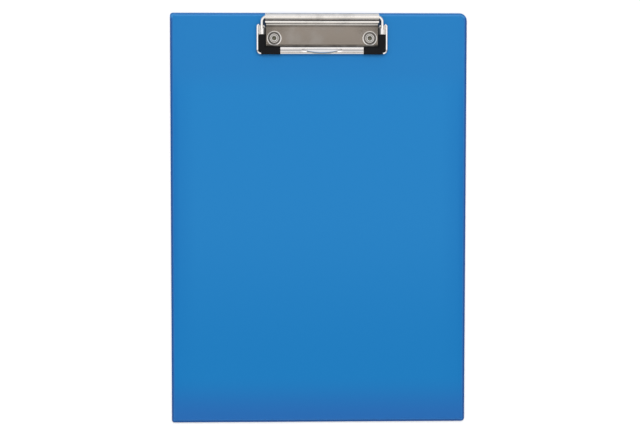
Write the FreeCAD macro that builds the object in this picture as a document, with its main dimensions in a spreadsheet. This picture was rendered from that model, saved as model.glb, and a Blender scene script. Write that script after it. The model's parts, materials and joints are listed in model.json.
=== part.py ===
import FreeCAD, Part
import math
import os
from types import SimpleNamespace

import Sketcher

# Flat clipboard with a low spring clip, in millimetres.
# The board lies on its back: X runs across it, +Y towards the clip, +Z out of its face.
# The origin is under the middle of the board, on the plane of its back.
# "Reach" is a distance forward of the clip's hinge axis, towards the bottom of the board.

SIZES = {
    # Board, seen from its face
    "board_width": 230.0,
    "board_length": 320.0,
    "top_left_corner": 2.0,
    "top_right_corner": 5.8,
    "bottom_left_corner": 2.0,
    "bottom_right_corner": 2.5,
    # Stiff core between two films, which are welded together round the edge
    "core_thickness": 2.4,
    "film_thickness": 0.3,
    "film_edge_bevel": 0.3,
    "weld_width": 1.6,
    "core_clearance": 0.1,
    # Base plate of the clip
    "clip_offset": 2.4,
    "barrel_inset": 0.6,
    "plate_sheet": 0.8,
    "barrel_clearance": 0.55,
    "curl_end_angle": 50.0,
    "ridge_radius": 1.9,
    "ridge_depth": 0.4,
    "valley_bite": 0.2,
    "step_radius": 0.8,
    "field_width": 86.4,
    "plate_reach": 23.1,
    "plate_front_bend": 1.2,
    "plate_corner_radius": 0.6,
    "shoulder_step": 0.8,
    # Sunk cups that hold the rivets
    "cup_radius": 5.8,
    "cup_step": 0.4,
    "cup_bend_run": 0.3,
    "cup_wall_angle": 60.0,
    "cup_wall_shift": 0.3,
    "cup_side_margin": 0.4,
    "cup_front_margin": 0.9,
    # Tubular rivets
    "rivet_shank_radius": 2.0,
    "rivet_bore_radius": 1.35,
    "rivet_head_radius": 4.5,
    "rivet_head_thickness": 0.8,
    "rivet_bore_floor": 0.6,
    "rivet_clearance": 0.1,
    "clinch_radius": 3.7,
    "clinch_height": 1.0,
    "clinch_side_radius": 0.6,
    "clinch_facet_angle": 45.0,
    "clinch_mouth_radius": 2.3,
    # Spring wire
    "wire_diameter": 2.3,
    "wire_bend_inset": 1.2,
    "wire_seat_length": 7.95,
    # Clamp frame
    "frame_sheet": 0.8,
    "plate_gap": 0.4,
    "wire_inset": 3.0,
    "rim_gap": 1.4,
    "rim_rise": 1.95,
    "rim_end_radius": 1.2,
    "hem_bevel": 0.4,
    "frame_corner_radius": 3.5,
    "frame_bend_radius": 0.2,
    "arm_start_gap": 1.55,
    "flap_start_gap": 1.0,
    "flap_slant_run": 5.6,
    "flap_clearance": 0.05,
    "flap_wrap_angle": 60.0,
    # Folded bar of the frame, between the caps
    "bar_depth": 5.4,
    "bead_radius": 1.15,
    "bead_rise": 1.4,
    "crease_setback": 1.95,
    "bar_crest_rise": 1.6,
    "bar_front_wall": 0.1,
    # Finger lift pressed out of the bar
    "lift_width": 31.0,
    "lift_rise": 1.8,
    "lift_back_bow": 0.7,
    "lift_front_bow": 2.2,
    # Moulded corner caps
    "cap_toe_length": 11.4,
    "cap_rise": 1.85,
    "cap_ledge_width": 0.8,
    "cap_ledge_depth": 0.8,
    "cap_edge_bevel": 0.3,
    "cap_fit_gap": 0.1,
    "jaw_gap": 0.05,
    # How far a cutting shape runs past what it cuts
    "cut_overrun": 1.0,
}

START, END, CENTRE = range(1, 4)
ORIGIN = (-1, 1)
ANTICLOCKWISE, CLOCKWISE = 1, -1
LEFT, RIGHT = -1, 1

# Sketch planes of the clip: the front view looks back along the board, the side view across it.
FRONT_VIEW = FreeCAD.Rotation(
    FreeCAD.Vector(1, 0, 0), FreeCAD.Vector(0, 0, 1), FreeCAD.Vector(0, -1, 0), "ZXY")
SIDE_VIEW = FreeCAD.Rotation(
    FreeCAD.Vector(0, -1, 0), FreeCAD.Vector(0, 0, 1), FreeCAD.Vector(-1, 0, 0), "ZXY")
PLAN_VIEW = FreeCAD.Rotation()


class Size:
    """A size that knows its value now and the expression of sheet cells it comes from."""

    def __init__(self, value, text):
        self.value = value
        self.text = text

    def __add__(self, other):
        other = as_size(other)
        return Size(self.value + other.value, f"({self.text} + {other.text})")

    def __sub__(self, other):
        other = as_size(other)
        return Size(self.value - other.value, f"({self.text} - {other.text})")

    def __mul__(self, other):
        other = as_size(other)
        return Size(self.value * other.value, f"{self.text} * {other.text}")

    def __truediv__(self, other):
        other = as_size(other)
        return Size(self.value / other.value, f"{self.text} / ({other.text})")

    def __rmul__(self, other):
        return as_size(other) * self

    def __radd__(self, other):
        return as_size(other) + self

    def __rsub__(self, other):
        return as_size(other) - self

    def __neg__(self):
        return Size(-self.value, f"(0 - {self.text})")


def as_size(number):
    return number if isinstance(number, Size) else Size(number, f"{number}")


def root(size):
    return Size(math.sqrt(size.value), f"sqrt({size.text})")


def sine(degrees):
    return Size(math.sin(math.radians(degrees.value)), f"sin({degrees.text})")


def cosine(degrees):
    return Size(math.cos(math.radians(degrees.value)), f"cos({degrees.text})")


def fill_sheet(document):
    sheet = document.addObject("Spreadsheet::Sheet", "sizes")
    for row, (name, value) in enumerate(SIZES.items(), start=1):
        sheet.set(f"A{row}", name)
        sheet.set(f"B{row}", f"{value}")
        sheet.setAlias(f"B{row}", name)


doc = FreeCAD.newDocument("clipboard")
fill_sheet(doc)
given = SimpleNamespace(**{name: Size(value, f"sizes.{name}") for name, value in SIZES.items()})

# Heights in the board, up from the plane of its back
board_thickness = given.core_thickness + given.film_thickness * 2
weld_height = board_thickness / 2
cavity_inset = given.weld_width + given.film_thickness
core_inset = cavity_inset + given.core_clearance

# Barrel and wire. Heights in the clip are measured up from the board's face.
wire_radius = given.wire_diameter / 2
bore_radius = wire_radius + given.barrel_clearance
barrel_radius = bore_radius + given.plate_sheet
field_height = given.plate_sheet * 2 + given.cup_step
half_field = given.field_width / 2
half_barrel = half_field + given.shoulder_step
hinge_y = given.board_length / 2 - given.barrel_inset - barrel_radius

# Places of the rivets, from the middle of the clip
rivet_across = half_field - given.cup_radius - given.cup_side_margin
rivet_reach = given.plate_reach - given.cup_radius - given.cup_front_margin

# Clamp: its arms run beside the plate and its bar in front of it.
arm_inner = half_field + given.plate_gap
wire_across = arm_inner + given.wire_inset
wire_bend_radius = wire_across - half_barrel + given.wire_bend_inset
arm_start = wire_bend_radius + given.arm_start_gap
wire_end = arm_start + given.wire_seat_length
floor_top = barrel_radius - wire_radius
floor_bottom = floor_top - given.frame_sheet
hem_width = given.frame_sheet * 2
frame_outer = wire_across + wire_radius + given.rim_gap + hem_width
bar_back = given.plate_reach + given.plate_gap
frame_reach = bar_back + given.bar_depth
half_bar = arm_inner - given.cap_toe_length
bend_outer = given.frame_bend_radius + given.frame_sheet


class Pen:
    """Draws a run of lines and arcs in a sketch, with every point and radius bound to the sizes."""

    def __init__(self, sketch, across, up, side=RIGHT):
        self.sketch = sketch
        self.side = side
        self.home = self._point(across, up)
        self.here = self.home
        self.first = None
        self.last = None

    def line_to(self, across, up):
        self._line(self._point(across, up), False)

    def line_home(self):
        self._line(self.home, True)

    def arc_to(self, across, up, radius, turn):
        self._arc(self._point(across, up), radius, turn, False)

    def arc_home(self, radius, turn):
        self._arc(self.home, radius, turn, True)

    def _point(self, across, up):
        across = as_size(across)
        return (-across if self.side == LEFT else across, as_size(up))

    def _line(self, target, closing):
        index = self.sketch.addGeometry(Part.LineSegment(vector(self.here), vector(target)))
        self._join(index, START, END, target, closing)

    def _arc(self, target, radius, turn, closing):
        turn = turn * self.side
        begin, finish = (vector(self.here), vector(target))
        chord = finish - begin
        to_left = FreeCAD.Vector(-chord.y, chord.x, 0).normalize() * turn
        rise = math.sqrt(max(radius.value ** 2 - (chord.Length / 2) ** 2, 0))
        centre = (begin + finish) / 2 + to_left * rise
        if turn == CLOCKWISE:
            begin, finish = finish, begin
        from_angle = math.atan2(begin.y - centre.y, begin.x - centre.x)
        to_angle = math.atan2(finish.y - centre.y, finish.x - centre.x)
        circle = Part.Circle(centre, FreeCAD.Vector(0, 0, 1), radius.value)
        index = self.sketch.addGeometry(Part.ArcOfCircle(circle, from_angle, to_angle))
        near, far = (START, END) if turn == ANTICLOCKWISE else (END, START)
        self._join(index, near, far, target, closing)
        bind_radius(self.sketch, index, radius)

    def _join(self, index, near, far, target, closing):
        if self.last is None:
            pin(self.sketch, index, near, self.home)
            self.first = (index, near)
        else:
            tie(self.sketch, self.last, (index, near))
        if closing:
            tie(self.sketch, (index, far), self.first)
        else:
            pin(self.sketch, index, far, target)
        self.last = (index, far)
        self.here = target


class SheetRun:
    """The section of a bent sheet, given by the line of its outer side, clockwise round its inside.

    Where two arcs meet at a crease, the sheet's inner side is rounded about that point."""

    def __init__(self, sheet, across, up):
        self.sheet = sheet
        self.here = (as_size(across), as_size(up))
        self.steps = []

    def line_to(self, across, up):
        self._step((as_size(across), as_size(up)), None, None, 0)

    def arc_to(self, across, up, centre, radius, turn=CLOCKWISE):
        self._step((as_size(across), as_size(up)), centre, radius, turn)

    def draw(self, sketch):
        pen = Pen(sketch, *self.steps[0].start)
        for step in self.steps:
            if step.turn:
                pen.arc_to(*step.end, step.radius, step.turn)
            else:
                pen.line_to(*step.end)
        inner = [self._inner_side(number) for number in range(len(self.steps))]
        pen.line_to(*inner[-1][1])
        for number in reversed(range(len(self.steps))):
            step, (start, end) = self.steps[number], inner[number]
            if step.turn:
                pen.arc_to(*start, step.radius + self.sheet * step.turn, -step.turn)
            else:
                pen.line_to(*start)
            if number and apart(start, inner[number - 1][1]):
                pen.arc_to(*inner[number - 1][1], self.sheet, CLOCKWISE)
        pen.line_home()

    def _step(self, end, centre, radius, turn):
        self.steps.append(SimpleNamespace(
            start=self.here, end=end, centre=centre, radius=radius, turn=turn))
        self.here = end

    def _inner_side(self, number):
        """Start and end of a step on the sheet's inner side. A line follows the arc beside it."""
        step = self.steps[number]
        if step.turn:
            return tuple(self._inner_point(step, point) for point in (step.start, step.end))
        if number:
            arc = self.steps[number - 1]
            shared = step.start
        else:
            arc = self.steps[number + 1]
            shared = step.end
        moved = self._inner_point(arc, shared)
        shift = [moved[axis] - shared[axis] for axis in (0, 1)]
        return tuple((point[0] + shift[0], point[1] + shift[1]) for point in (step.start, step.end))

    def _inner_point(self, arc, point):
        share = (arc.radius + self.sheet * arc.turn) / arc.radius
        return tuple(centre + (place - centre) * share for place, centre in zip(point, arc.centre))


def apart(one, other):
    return (vector(one) - vector(other)).Length > Part.Precision.confusion()


def vector(point):
    return FreeCAD.Vector(point[0].value, point[1].value, 0)


def tie(sketch, one, other):
    sketch.addConstraint(Sketcher.Constraint("Coincident", *one, *other))


def pin(sketch, index, end, point):
    """Holds a point of the sketch at its distances from the origin."""
    horizontal_axis, vertical_axis = -1, -2
    for kind, axis, size in zip(("DistanceX", "DistanceY"), (vertical_axis, horizontal_axis), point):
        if size.text == "0":
            sketch.addConstraint(Sketcher.Constraint("PointOnObject", index, end, axis))
        else:
            fixed = sketch.addConstraint(Sketcher.Constraint(kind, *ORIGIN, index, end, size.value))
            sketch.setExpression(f"Constraints[{fixed}]", size.text)


def bind_radius(sketch, index, radius):
    fixed = sketch.addConstraint(Sketcher.Constraint("Radius", index, radius.value))
    sketch.setExpression(f"Constraints[{fixed}]", radius.text)


def draw_circle(sketch, across, up, radius):
    centre = (as_size(across), as_size(up))
    index = sketch.addGeometry(Part.Circle(vector(centre), FreeCAD.Vector(0, 0, 1), radius.value))
    pin(sketch, index, CENTRE, centre)
    bind_radius(sketch, index, radius)


def draw_board_outline(sketch, inset, corners):
    """The board's outline, drawn in by an inset, from its bottom left corner round to the right."""
    right = given.board_width / 2 - inset
    top = given.board_length / 2 - inset
    bottom_left, bottom_right, top_right, top_left = corners
    pen = Pen(sketch, bottom_left - right, -top)
    pen.line_to(right - bottom_right, -top)
    pen.arc_to(right, bottom_right - top, bottom_right, ANTICLOCKWISE)
    pen.line_to(right, top - top_right)
    pen.arc_to(right - top_right, top, top_right, ANTICLOCKWISE)
    pen.line_to(top_left - right, top)
    pen.arc_to(-right, top - top_left, top_left, ANTICLOCKWISE)
    pen.line_to(-right, bottom_left - top)
    pen.arc_home(bottom_left, ANTICLOCKWISE)


def new_body(name):
    body = doc.addObject("PartDesign::Body", name)
    body.Label = name
    return body


def body_sketch(body, name, role="XY_Plane", lift=None):
    """A sketch on one of the body's own planes, lifted along that plane's normal."""
    sketch = body.newObject("Sketcher::SketchObject", name)
    plane = next(plane for plane in body.Origin.OriginFeatures if plane.Role == role)
    sketch.AttachmentSupport = [(plane, "")]
    sketch.MapMode = "FlatFace"
    if lift is not None:
        sketch.setExpression("AttachmentOffset.Base.z", lift.text)
    return sketch


def pad(body, sketch, length):
    feature = body.newObject("PartDesign::Pad", f"{sketch.Name}_pad")
    feature.Profile = sketch
    feature.setExpression("Length", length.text)
    return feature


def pocket(body, sketch, depth, upwards=False):
    """Cuts down from the sketch, or up from it, and makes sure that material went."""
    before = solid_volume(body)
    feature = body.newObject("PartDesign::Pocket", f"{sketch.Name}_pocket")
    feature.Profile = sketch
    feature.Reversed = upwards
    feature.setExpression("Length", depth.text)
    if not solid_volume(body) < before:
        raise RuntimeError(f"{feature.Name} removes nothing")
    return feature


def solid_volume(body):
    doc.recompute()
    return body.Shape.Volume


def bevel_edges(body, name, size, height):
    """Bevels all of the body's edges that lie level at the given height."""
    doc.recompute()
    base = body.Tip
    edges = [f"Edge{number}" for number, edge in enumerate(base.Shape.Edges, start=1)
             if lies_level(edge, height)]
    feature = body.newObject("PartDesign::Chamfer", name)
    feature.Base = (base, edges)
    feature.setExpression("Size", size.text)
    return feature


def lies_level(edge, height):
    box = edge.BoundBox
    flat = Part.Precision.confusion()
    return abs(box.ZMin - height.value) < flat and abs(box.ZMax - height.value) < flat


def free_sketch(name, view, offset=None):
    """A sketch in one of the clip's views, moved along the view's line of sight or up."""
    sketch = doc.addObject("Sketcher::SketchObject", name)
    sketch.Placement = FreeCAD.Placement(FreeCAD.Vector(), view)
    if offset is not None:
        axis, distance = offset
        sketch.setExpression(f"Placement.Base.{axis}", distance.text)
    return sketch


def extrude(base, length, symmetric=False):
    solid = doc.addObject("Part::Extrusion", f"{base.Name}_solid")
    solid.Base = base
    solid.DirMode = "Custom"
    solid.Dir = base.Placement.Rotation.multVec(FreeCAD.Vector(0, 0, 1))
    solid.Solid = True
    solid.Symmetric = symmetric
    solid.setExpression("LengthFwd", length.text)
    return solid


def cut(name, base, *tools):
    for number, tool in enumerate(tools, start=1):
        result = doc.addObject("Part::Cut", name if number == len(tools) else f"{name}_cut_{number}")
        result.Base = base
        result.Tool = tool
        base = result
    return base


def fuse(name, *shapes):
    result = doc.addObject("Part::MultiFuse", name)
    result.Shapes = list(shapes)
    result.Refine = True
    return result


def common(name, base, tool):
    result = doc.addObject("Part::Common", name)
    result.Base = base
    result.Tool = tool
    return result


def put_on_board(piece, across=None, forward=None, height=board_thickness):
    """Places a piece of the clip: its own origin goes over the board, under the hinge axis."""
    across = given.clip_offset if across is None else given.clip_offset + across
    from_middle = hinge_y if forward is None else hinge_y - forward
    piece.setExpression("Placement.Base.x", across.text)
    piece.setExpression("Placement.Base.y", from_middle.text)
    piece.setExpression("Placement.Base.z", height.text)


# Board

def outline_corners(mirrored=False):
    """Radii of the corners, from the bottom left one round; a mirrored sheet swaps its sides."""
    bottom = [given.bottom_left_corner, given.bottom_right_corner]
    top = [given.top_right_corner, given.top_left_corner]
    return bottom[::-1] + top[::-1] if mirrored else bottom + top


def rivet_places(mirrored=False):
    """The rivets' places on the board, seen from its face, or from its back where mirrored."""
    turn = -1 if mirrored else 1
    y = hinge_y - rivet_reach
    return [((given.clip_offset + rivet_across * side) * turn, y) for side in (LEFT, RIGHT)]


def make_core_board():
    """Stiff square-cut board, drilled for the rivets and counterbored for their heads."""
    body = new_body("core_board")
    outline = body_sketch(body, "core_outline")
    draw_board_outline(outline, core_inset, outline_corners())
    pad(body, outline, given.core_thickness)
    holes = body_sketch(body, "core_holes", lift=given.core_thickness)
    recesses = body_sketch(body, "core_recesses")
    hole_radius = given.rivet_shank_radius + given.rivet_clearance
    recess_radius = given.rivet_head_radius + given.rivet_clearance * 2 + given.film_thickness
    for x, y in rivet_places():
        draw_circle(holes, x, y, hole_radius)
        draw_circle(recesses, x, y, recess_radius)
    pocket(body, holes, given.core_thickness)
    pocket(body, recesses, given.rivet_head_thickness, upwards=True)
    body.setExpression("Placement.Base.z", given.film_thickness.text)
    return body


def make_cover(name, back):
    """Film pressed over one half of the core, from the weld plane up, with its flat welded edge."""
    body = new_body(name)
    half = board_thickness / 2
    corners = outline_corners(back)
    outer_corners = [corner + given.film_thickness + given.core_clearance for corner in corners]
    inner_corners = [corner + given.core_clearance for corner in corners]

    raised = body_sketch(body, f"{name}_raised")
    draw_board_outline(raised, given.weld_width, outer_corners)
    pad(body, raised, half)
    bevel_edges(body, f"{name}_fold", given.film_edge_bevel, half)

    cavity = body_sketch(body, f"{name}_cavity")
    draw_board_outline(cavity, cavity_inset, inner_corners)
    pocket(body, cavity, half - given.film_thickness, upwards=True)

    weld = body_sketch(body, f"{name}_weld")
    draw_board_outline(weld, as_size(0), corners)
    draw_board_outline(weld, cavity_inset, inner_corners)
    pad(body, weld, given.film_thickness)

    places = rivet_places(back)
    if back:
        press_dimples(body, name, half, places)
    holes = body_sketch(body, f"{name}_holes", lift=half)
    for x, y in places:
        draw_circle(holes, x, y, given.rivet_shank_radius + given.rivet_clearance)
    pocket(body, holes, half)
    if back:
        body.Placement.Rotation = FreeCAD.Rotation(FreeCAD.Vector(0, 1, 0), 180)
    body.setExpression("Placement.Base.z", weld_height.text)
    return body


def press_dimples(body, name, half, places):
    """Dimples that the rivet heads sink into, so that the back stays flat."""
    dimple_radius = given.rivet_head_radius + given.rivet_clearance
    depth = given.rivet_head_thickness + given.film_thickness
    bosses = body_sketch(body, f"{name}_dimples", lift=half - depth)
    recesses = body_sketch(body, f"{name}_recesses", lift=half)
    for x, y in places:
        draw_circle(bosses, x, y, dimple_radius + given.film_thickness)
        draw_circle(recesses, x, y, dimple_radius)
    pad(body, bosses, depth)
    pocket(body, recesses, given.rivet_head_thickness)


# Clip: base plate and rivets

def valley_point():
    """Where the barrel's outer circle meets the ridge's, on their upper side."""
    ridge_reach = barrel_radius + given.ridge_radius - given.valley_bite
    along_square = ridge_reach * ridge_reach + given.ridge_depth * given.ridge_depth
    along = root(along_square)
    radii_part = barrel_radius * barrel_radius - given.ridge_radius * given.ridge_radius
    to_chord = (along_square + radii_part) / (along * 2)
    half_chord = root(barrel_radius * barrel_radius - to_chord * to_chord)
    reach = (ridge_reach * to_chord + given.ridge_depth * half_chord) / along
    height = barrel_radius + (ridge_reach * half_chord - given.ridge_depth * to_chord) / along
    return reach, height, ridge_reach


def plate_profile():
    """The plate's sheet from the curl's free end round the barrel, over the ridge and down."""
    valley_reach, valley_height, ridge_reach = valley_point()
    ridge_height = barrel_radius - given.ridge_depth
    curl_reach = barrel_radius * cosine(given.curl_end_angle)
    curl_height = barrel_radius - barrel_radius * sine(given.curl_end_angle)
    step_height = field_height + given.step_radius
    reach_sum = given.ridge_radius + given.step_radius
    step_rise = step_height - ridge_height
    step_run = root(reach_sum * reach_sum - step_rise * step_rise)
    step_reach = ridge_reach + step_run
    foot_reach = ridge_reach + step_run * given.ridge_radius / reach_sum
    foot_height = ridge_height + step_rise * given.ridge_radius / reach_sum

    hinge = (as_size(0), barrel_radius)
    ridge = (ridge_reach, ridge_height)
    step_centre = (step_reach, step_height)
    bend = (given.plate_reach - given.plate_front_bend, field_height - given.plate_front_bend)
    run = SheetRun(given.plate_sheet, curl_reach, curl_height)
    run.arc_to(0, 0, hinge, barrel_radius)
    run.arc_to(-barrel_radius, barrel_radius, hinge, barrel_radius)
    run.arc_to(0, barrel_radius * 2, hinge, barrel_radius)
    run.arc_to(valley_reach, valley_height, hinge, barrel_radius)
    run.arc_to(ridge_reach, ridge_height + given.ridge_radius, ridge, given.ridge_radius)
    run.arc_to(foot_reach, foot_height, ridge, given.ridge_radius)
    run.arc_to(step_reach, field_height, step_centre, given.step_radius, ANTICLOCKWISE)
    run.line_to(bend[0], field_height)
    run.arc_to(given.plate_reach, bend[1], bend, given.plate_front_bend)
    run.line_to(given.plate_reach, 0)
    return run


def draw_plate_outline(sketch):
    """The plate seen from above: full width at the barrel, drawn in ahead of the clamp's arms."""
    back = barrel_radius + given.cut_overrun
    shoulder_end = arm_start - given.plate_gap
    shoulder_start = shoulder_end - given.shoulder_step
    corner = given.plate_corner_radius
    pen = Pen(sketch, -half_barrel, back)
    pen.line_to(-half_barrel, -shoulder_start)
    pen.line_to(-half_field, -shoulder_end)
    pen.line_to(-half_field, corner - given.plate_reach)
    pen.arc_to(corner - half_field, -given.plate_reach, corner, ANTICLOCKWISE)
    pen.line_to(half_field - corner, -given.plate_reach)
    pen.arc_to(half_field, corner - given.plate_reach, corner, ANTICLOCKWISE)
    pen.line_to(half_field, -shoulder_end)
    pen.line_to(half_barrel, -shoulder_start)
    pen.line_to(half_barrel, back)
    pen.line_home()


def cup_wall():
    """Points of the cup's wall on the plate's upper side, from its floor out to the field."""
    soft = given.cup_bend_run
    eased = soft * sine(given.cup_wall_angle) / (cosine(given.cup_wall_angle) + 1)
    drop = field_height - given.plate_sheet
    steep_run = (drop - eased * 2) * cosine(given.cup_wall_angle) / sine(given.cup_wall_angle)
    floor_edge = given.cup_radius - soft * 2 - steep_run
    return ((floor_edge, given.plate_sheet), (floor_edge + soft, given.plate_sheet + eased),
            (given.cup_radius - soft, field_height - eased), (given.cup_radius, field_height))


def make_cup(name):
    """A sunk cup in the plate: a ring of the field, a drawn wall, and a floor on the board."""
    hole = given.rivet_shank_radius + given.rivet_clearance
    upper_side = cup_wall()
    under_side = [(r + given.cup_wall_shift, z - given.plate_sheet) for r, z in upper_side]
    section = free_sketch(f"{name}_section", FRONT_VIEW)
    pen = Pen(section, hole, 0)
    pen.line_to(under_side[0][0], 0)
    for point in under_side[1:]:
        pen.line_to(*point)
    pen.line_to(under_side[-1][0], field_height)
    for point in reversed(upper_side):
        pen.line_to(*point)
    pen.line_to(hole, given.plate_sheet)
    pen.line_home()
    cup = doc.addObject("Part::Revolution", name)
    cup.Source = section
    cup.Axis = FreeCAD.Vector(0, 0, 1)
    cup.Angle = 360
    cup.Solid = True
    return cup


def make_base_plate():
    """Pressed plate: sheet section run across the clip, trimmed to its outline, with two cups."""
    profile = free_sketch("plate_profile", SIDE_VIEW)
    plate_profile().draw(profile)
    sheet_bar = extrude(profile, half_barrel * 2, symmetric=True)
    outline = free_sketch("plate_outline", PLAN_VIEW)
    draw_plate_outline(outline)
    trimmed = common("plate_trimmed", sheet_bar, extrude(outline, barrel_radius * 2))

    mouths, cups = [], []
    for name, side in (("left", LEFT), ("right", RIGHT)):
        mouth = doc.addObject("Part::Cylinder", f"cup_mouth_{name}")
        mouth.setExpression("Radius", (given.cup_radius + given.cup_wall_shift).text)
        mouth.setExpression("Height", field_height.text)
        cup = make_cup(f"cup_{name}")
        for piece in (mouth, cup):
            piece.setExpression("Placement.Base.x", (rivet_across * side).text)
            piece.setExpression("Placement.Base.y", (-rivet_reach).text)
        mouths.append(mouth)
        cups.append(cup)
    plate = fuse("clip_base_plate", cut("plate_holed", trimmed, *mouths), *cups)
    put_on_board(plate)
    return plate


def make_rivet(name, side):
    """Tubular rivet: flat head sunk in the back, tube through the board, end rolled over in the cup."""
    seat = board_thickness + given.plate_sheet
    side_round = given.clinch_side_radius
    crown = seat + given.clinch_height
    crown_reach = given.clinch_radius - side_round
    inner_crown = given.clinch_mouth_radius + side_round
    facet_run = side_round * cosine(given.clinch_facet_angle)
    facet_height = crown - side_round + side_round * sine(given.clinch_facet_angle)
    funnel_drop = given.clinch_mouth_radius - given.rivet_bore_radius
    bore_floor = given.rivet_head_thickness + given.rivet_bore_floor

    body = new_body(name)
    section = body_sketch(body, f"{name}_section", "XZ_Plane")
    pen = Pen(section, 0, 0)
    pen.line_to(given.rivet_head_radius, 0)
    pen.line_to(given.rivet_head_radius, given.rivet_head_thickness)
    pen.line_to(given.rivet_shank_radius, given.rivet_head_thickness)
    pen.line_to(given.rivet_shank_radius, seat)
    pen.line_to(given.clinch_radius, seat)
    pen.line_to(given.clinch_radius, crown - side_round)
    pen.line_to(crown_reach + facet_run, facet_height)
    pen.line_to(crown_reach, crown)
    pen.line_to(inner_crown, crown)
    pen.line_to(inner_crown - facet_run, facet_height)
    pen.line_to(given.clinch_mouth_radius, crown - side_round)
    pen.line_to(given.rivet_bore_radius, crown - side_round - funnel_drop)
    pen.line_to(given.rivet_bore_radius, bore_floor)
    pen.line_to(0, bore_floor)
    pen.line_home()
    turned = body.newObject("PartDesign::Revolution", f"{name}_turned")
    turned.Profile = section
    turned.ReferenceAxis = (section, ["V_Axis"])
    turned.Angle = 360
    put_on_board(body, across=rivet_across * side, forward=rivet_reach, height=as_size(0))
    return body


# Clip: spring wire, frame and caps

def make_spring_wire():
    """Round wire through the barrel, bent forward beyond its ends into the frame's arms."""
    body = new_body("spring_wire")
    path = body_sketch(body, "wire_path", lift=barrel_radius)
    bend_start = wire_across - wire_bend_radius
    pen = Pen(path, -wire_across, -wire_end)
    pen.line_to(-wire_across, -wire_bend_radius)
    pen.arc_to(-bend_start, 0, wire_bend_radius, CLOCKWISE)
    pen.line_to(bend_start, 0)
    pen.arc_to(wire_across, -wire_bend_radius, wire_bend_radius, CLOCKWISE)
    pen.line_to(wire_across, -wire_end)
    section = body_sketch(body, "wire_section", "XZ_Plane", lift=wire_end)
    draw_circle(section, -wire_across, barrel_radius, wire_radius)
    swept = body.newObject("PartDesign::AdditivePipe", "wire_swept")
    swept.Profile = section
    swept.Spine = (path, [f"Edge{number + 1}" for number in range(path.GeometryCount)])
    put_on_board(body)
    return body


def draw_floor_outline(sketch, side=RIGHT):
    """One half of the frame's floor, seen from above: an arm, its corner and a leg to the bar."""
    inner = arm_inner + given.frame_sheet
    outer = frame_outer - bend_outer
    front = frame_reach - bend_outer
    corner = given.frame_corner_radius - bend_outer
    leg_end = half_bar - given.frame_sheet
    back_corner = given.rim_end_radius + given.frame_sheet - bend_outer
    back = arm_start + bend_outer
    pen = Pen(sketch, inner, -back, side)
    pen.line_to(inner, -bar_back - given.frame_sheet)
    pen.line_to(leg_end, -bar_back - given.frame_sheet)
    pen.line_to(leg_end, -front)
    pen.line_to(outer - corner, -front)
    pen.arc_to(outer, corner - front, corner, ANTICLOCKWISE)
    pen.line_to(outer, -back - back_corner)
    pen.arc_to(outer - back_corner, -back, back_corner, ANTICLOCKWISE)
    pen.line_home()


def make_frame_floor():
    outline = free_sketch("floor_outline", PLAN_VIEW, ("z", floor_bottom))
    draw_floor_outline(outline)
    return extrude(outline, given.frame_sheet)


def make_frame_rim():
    """Hemmed wall round the arm, from its back corner to just past its front one.

    Its outer top edge is rounded, its inner top edge and its foot are bevelled."""
    outer = frame_outer - given.frame_sheet
    front = frame_reach - given.frame_sheet
    corner = given.frame_corner_radius - given.frame_sheet
    back = arm_start + given.frame_sheet
    start = outer - given.rim_end_radius
    path = free_sketch("rim_path", PLAN_VIEW, ("z", floor_bottom))
    pen = Pen(path, start, -back)
    pen.arc_to(outer, -back - given.rim_end_radius, given.rim_end_radius, CLOCKWISE)
    pen.line_to(outer, corner - front)
    pen.arc_to(outer - corner, -front, corner, CLOCKWISE)

    top = floor_top + given.rim_rise
    fold = given.frame_sheet
    section = free_sketch("rim_section", SIDE_VIEW, ("x", start))
    pen = Pen(section, arm_start + bend_outer, floor_bottom)
    pen.line_to(arm_start + hem_width, floor_bottom)
    pen.line_to(arm_start + hem_width, top - given.hem_bevel)
    pen.line_to(arm_start + hem_width - given.hem_bevel, top)
    pen.line_to(arm_start + fold, top)
    pen.arc_to(arm_start, top - fold, fold, ANTICLOCKWISE)
    pen.line_to(arm_start, floor_bottom + bend_outer)
    pen.line_home()
    rim = doc.addObject("Part::Sweep", "frame_rim")
    rim.Sections = [section]
    rim.Spine = (path, [f"Edge{number + 1}" for number in range(path.GeometryCount)])
    rim.Solid = True
    return rim


def make_wire_flap():
    """Tongue of the arm's floor, bent up beside the wire and over it, and cut on a slant."""
    wrap = wire_radius + given.flap_clearance + given.frame_sheet
    bend_x = arm_inner + bend_outer
    bend_z = floor_bottom + bend_outer
    across = wire_across - bend_x
    rise = barrel_radius - bend_z
    span_square = across * across + rise * rise
    grow = wrap - bend_outer
    level = root(span_square - grow * grow)
    slope_x = (across * level - rise * grow) / span_square
    slope_z = (rise * level + across * grow) / span_square

    bend = (bend_x, bend_z)
    wire = (wire_across, barrel_radius)
    run = SheetRun(given.frame_sheet, wire_across, floor_bottom)
    run.line_to(bend_x, floor_bottom)
    run.arc_to(bend_x - bend_outer * slope_z, bend_z + bend_outer * slope_x, bend, bend_outer)
    run.line_to(wire_across - wrap * slope_z, barrel_radius + wrap * slope_x)
    run.arc_to(wire_across + wrap * cosine(given.flap_wrap_angle),
               barrel_radius + wrap * sine(given.flap_wrap_angle), wire, wrap)
    section = free_sketch("flap_section", FRONT_VIEW, ("y", -arm_start - given.flap_start_gap))
    run.draw(section)
    tongue = extrude(section, given.wire_seat_length - given.flap_start_gap)

    slant = free_sketch("flap_slant", PLAN_VIEW)
    flap_start = arm_start + given.flap_start_gap
    far = wire_across + wrap
    pen = Pen(slant, arm_inner, -flap_start)
    pen.line_to(far, -flap_start - given.flap_slant_run)
    pen.line_to(far, -flap_start)
    pen.line_home()
    return cut("wire_flap", tongue, extrude(slant, barrel_radius + wrap + given.cut_overrun))


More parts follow.
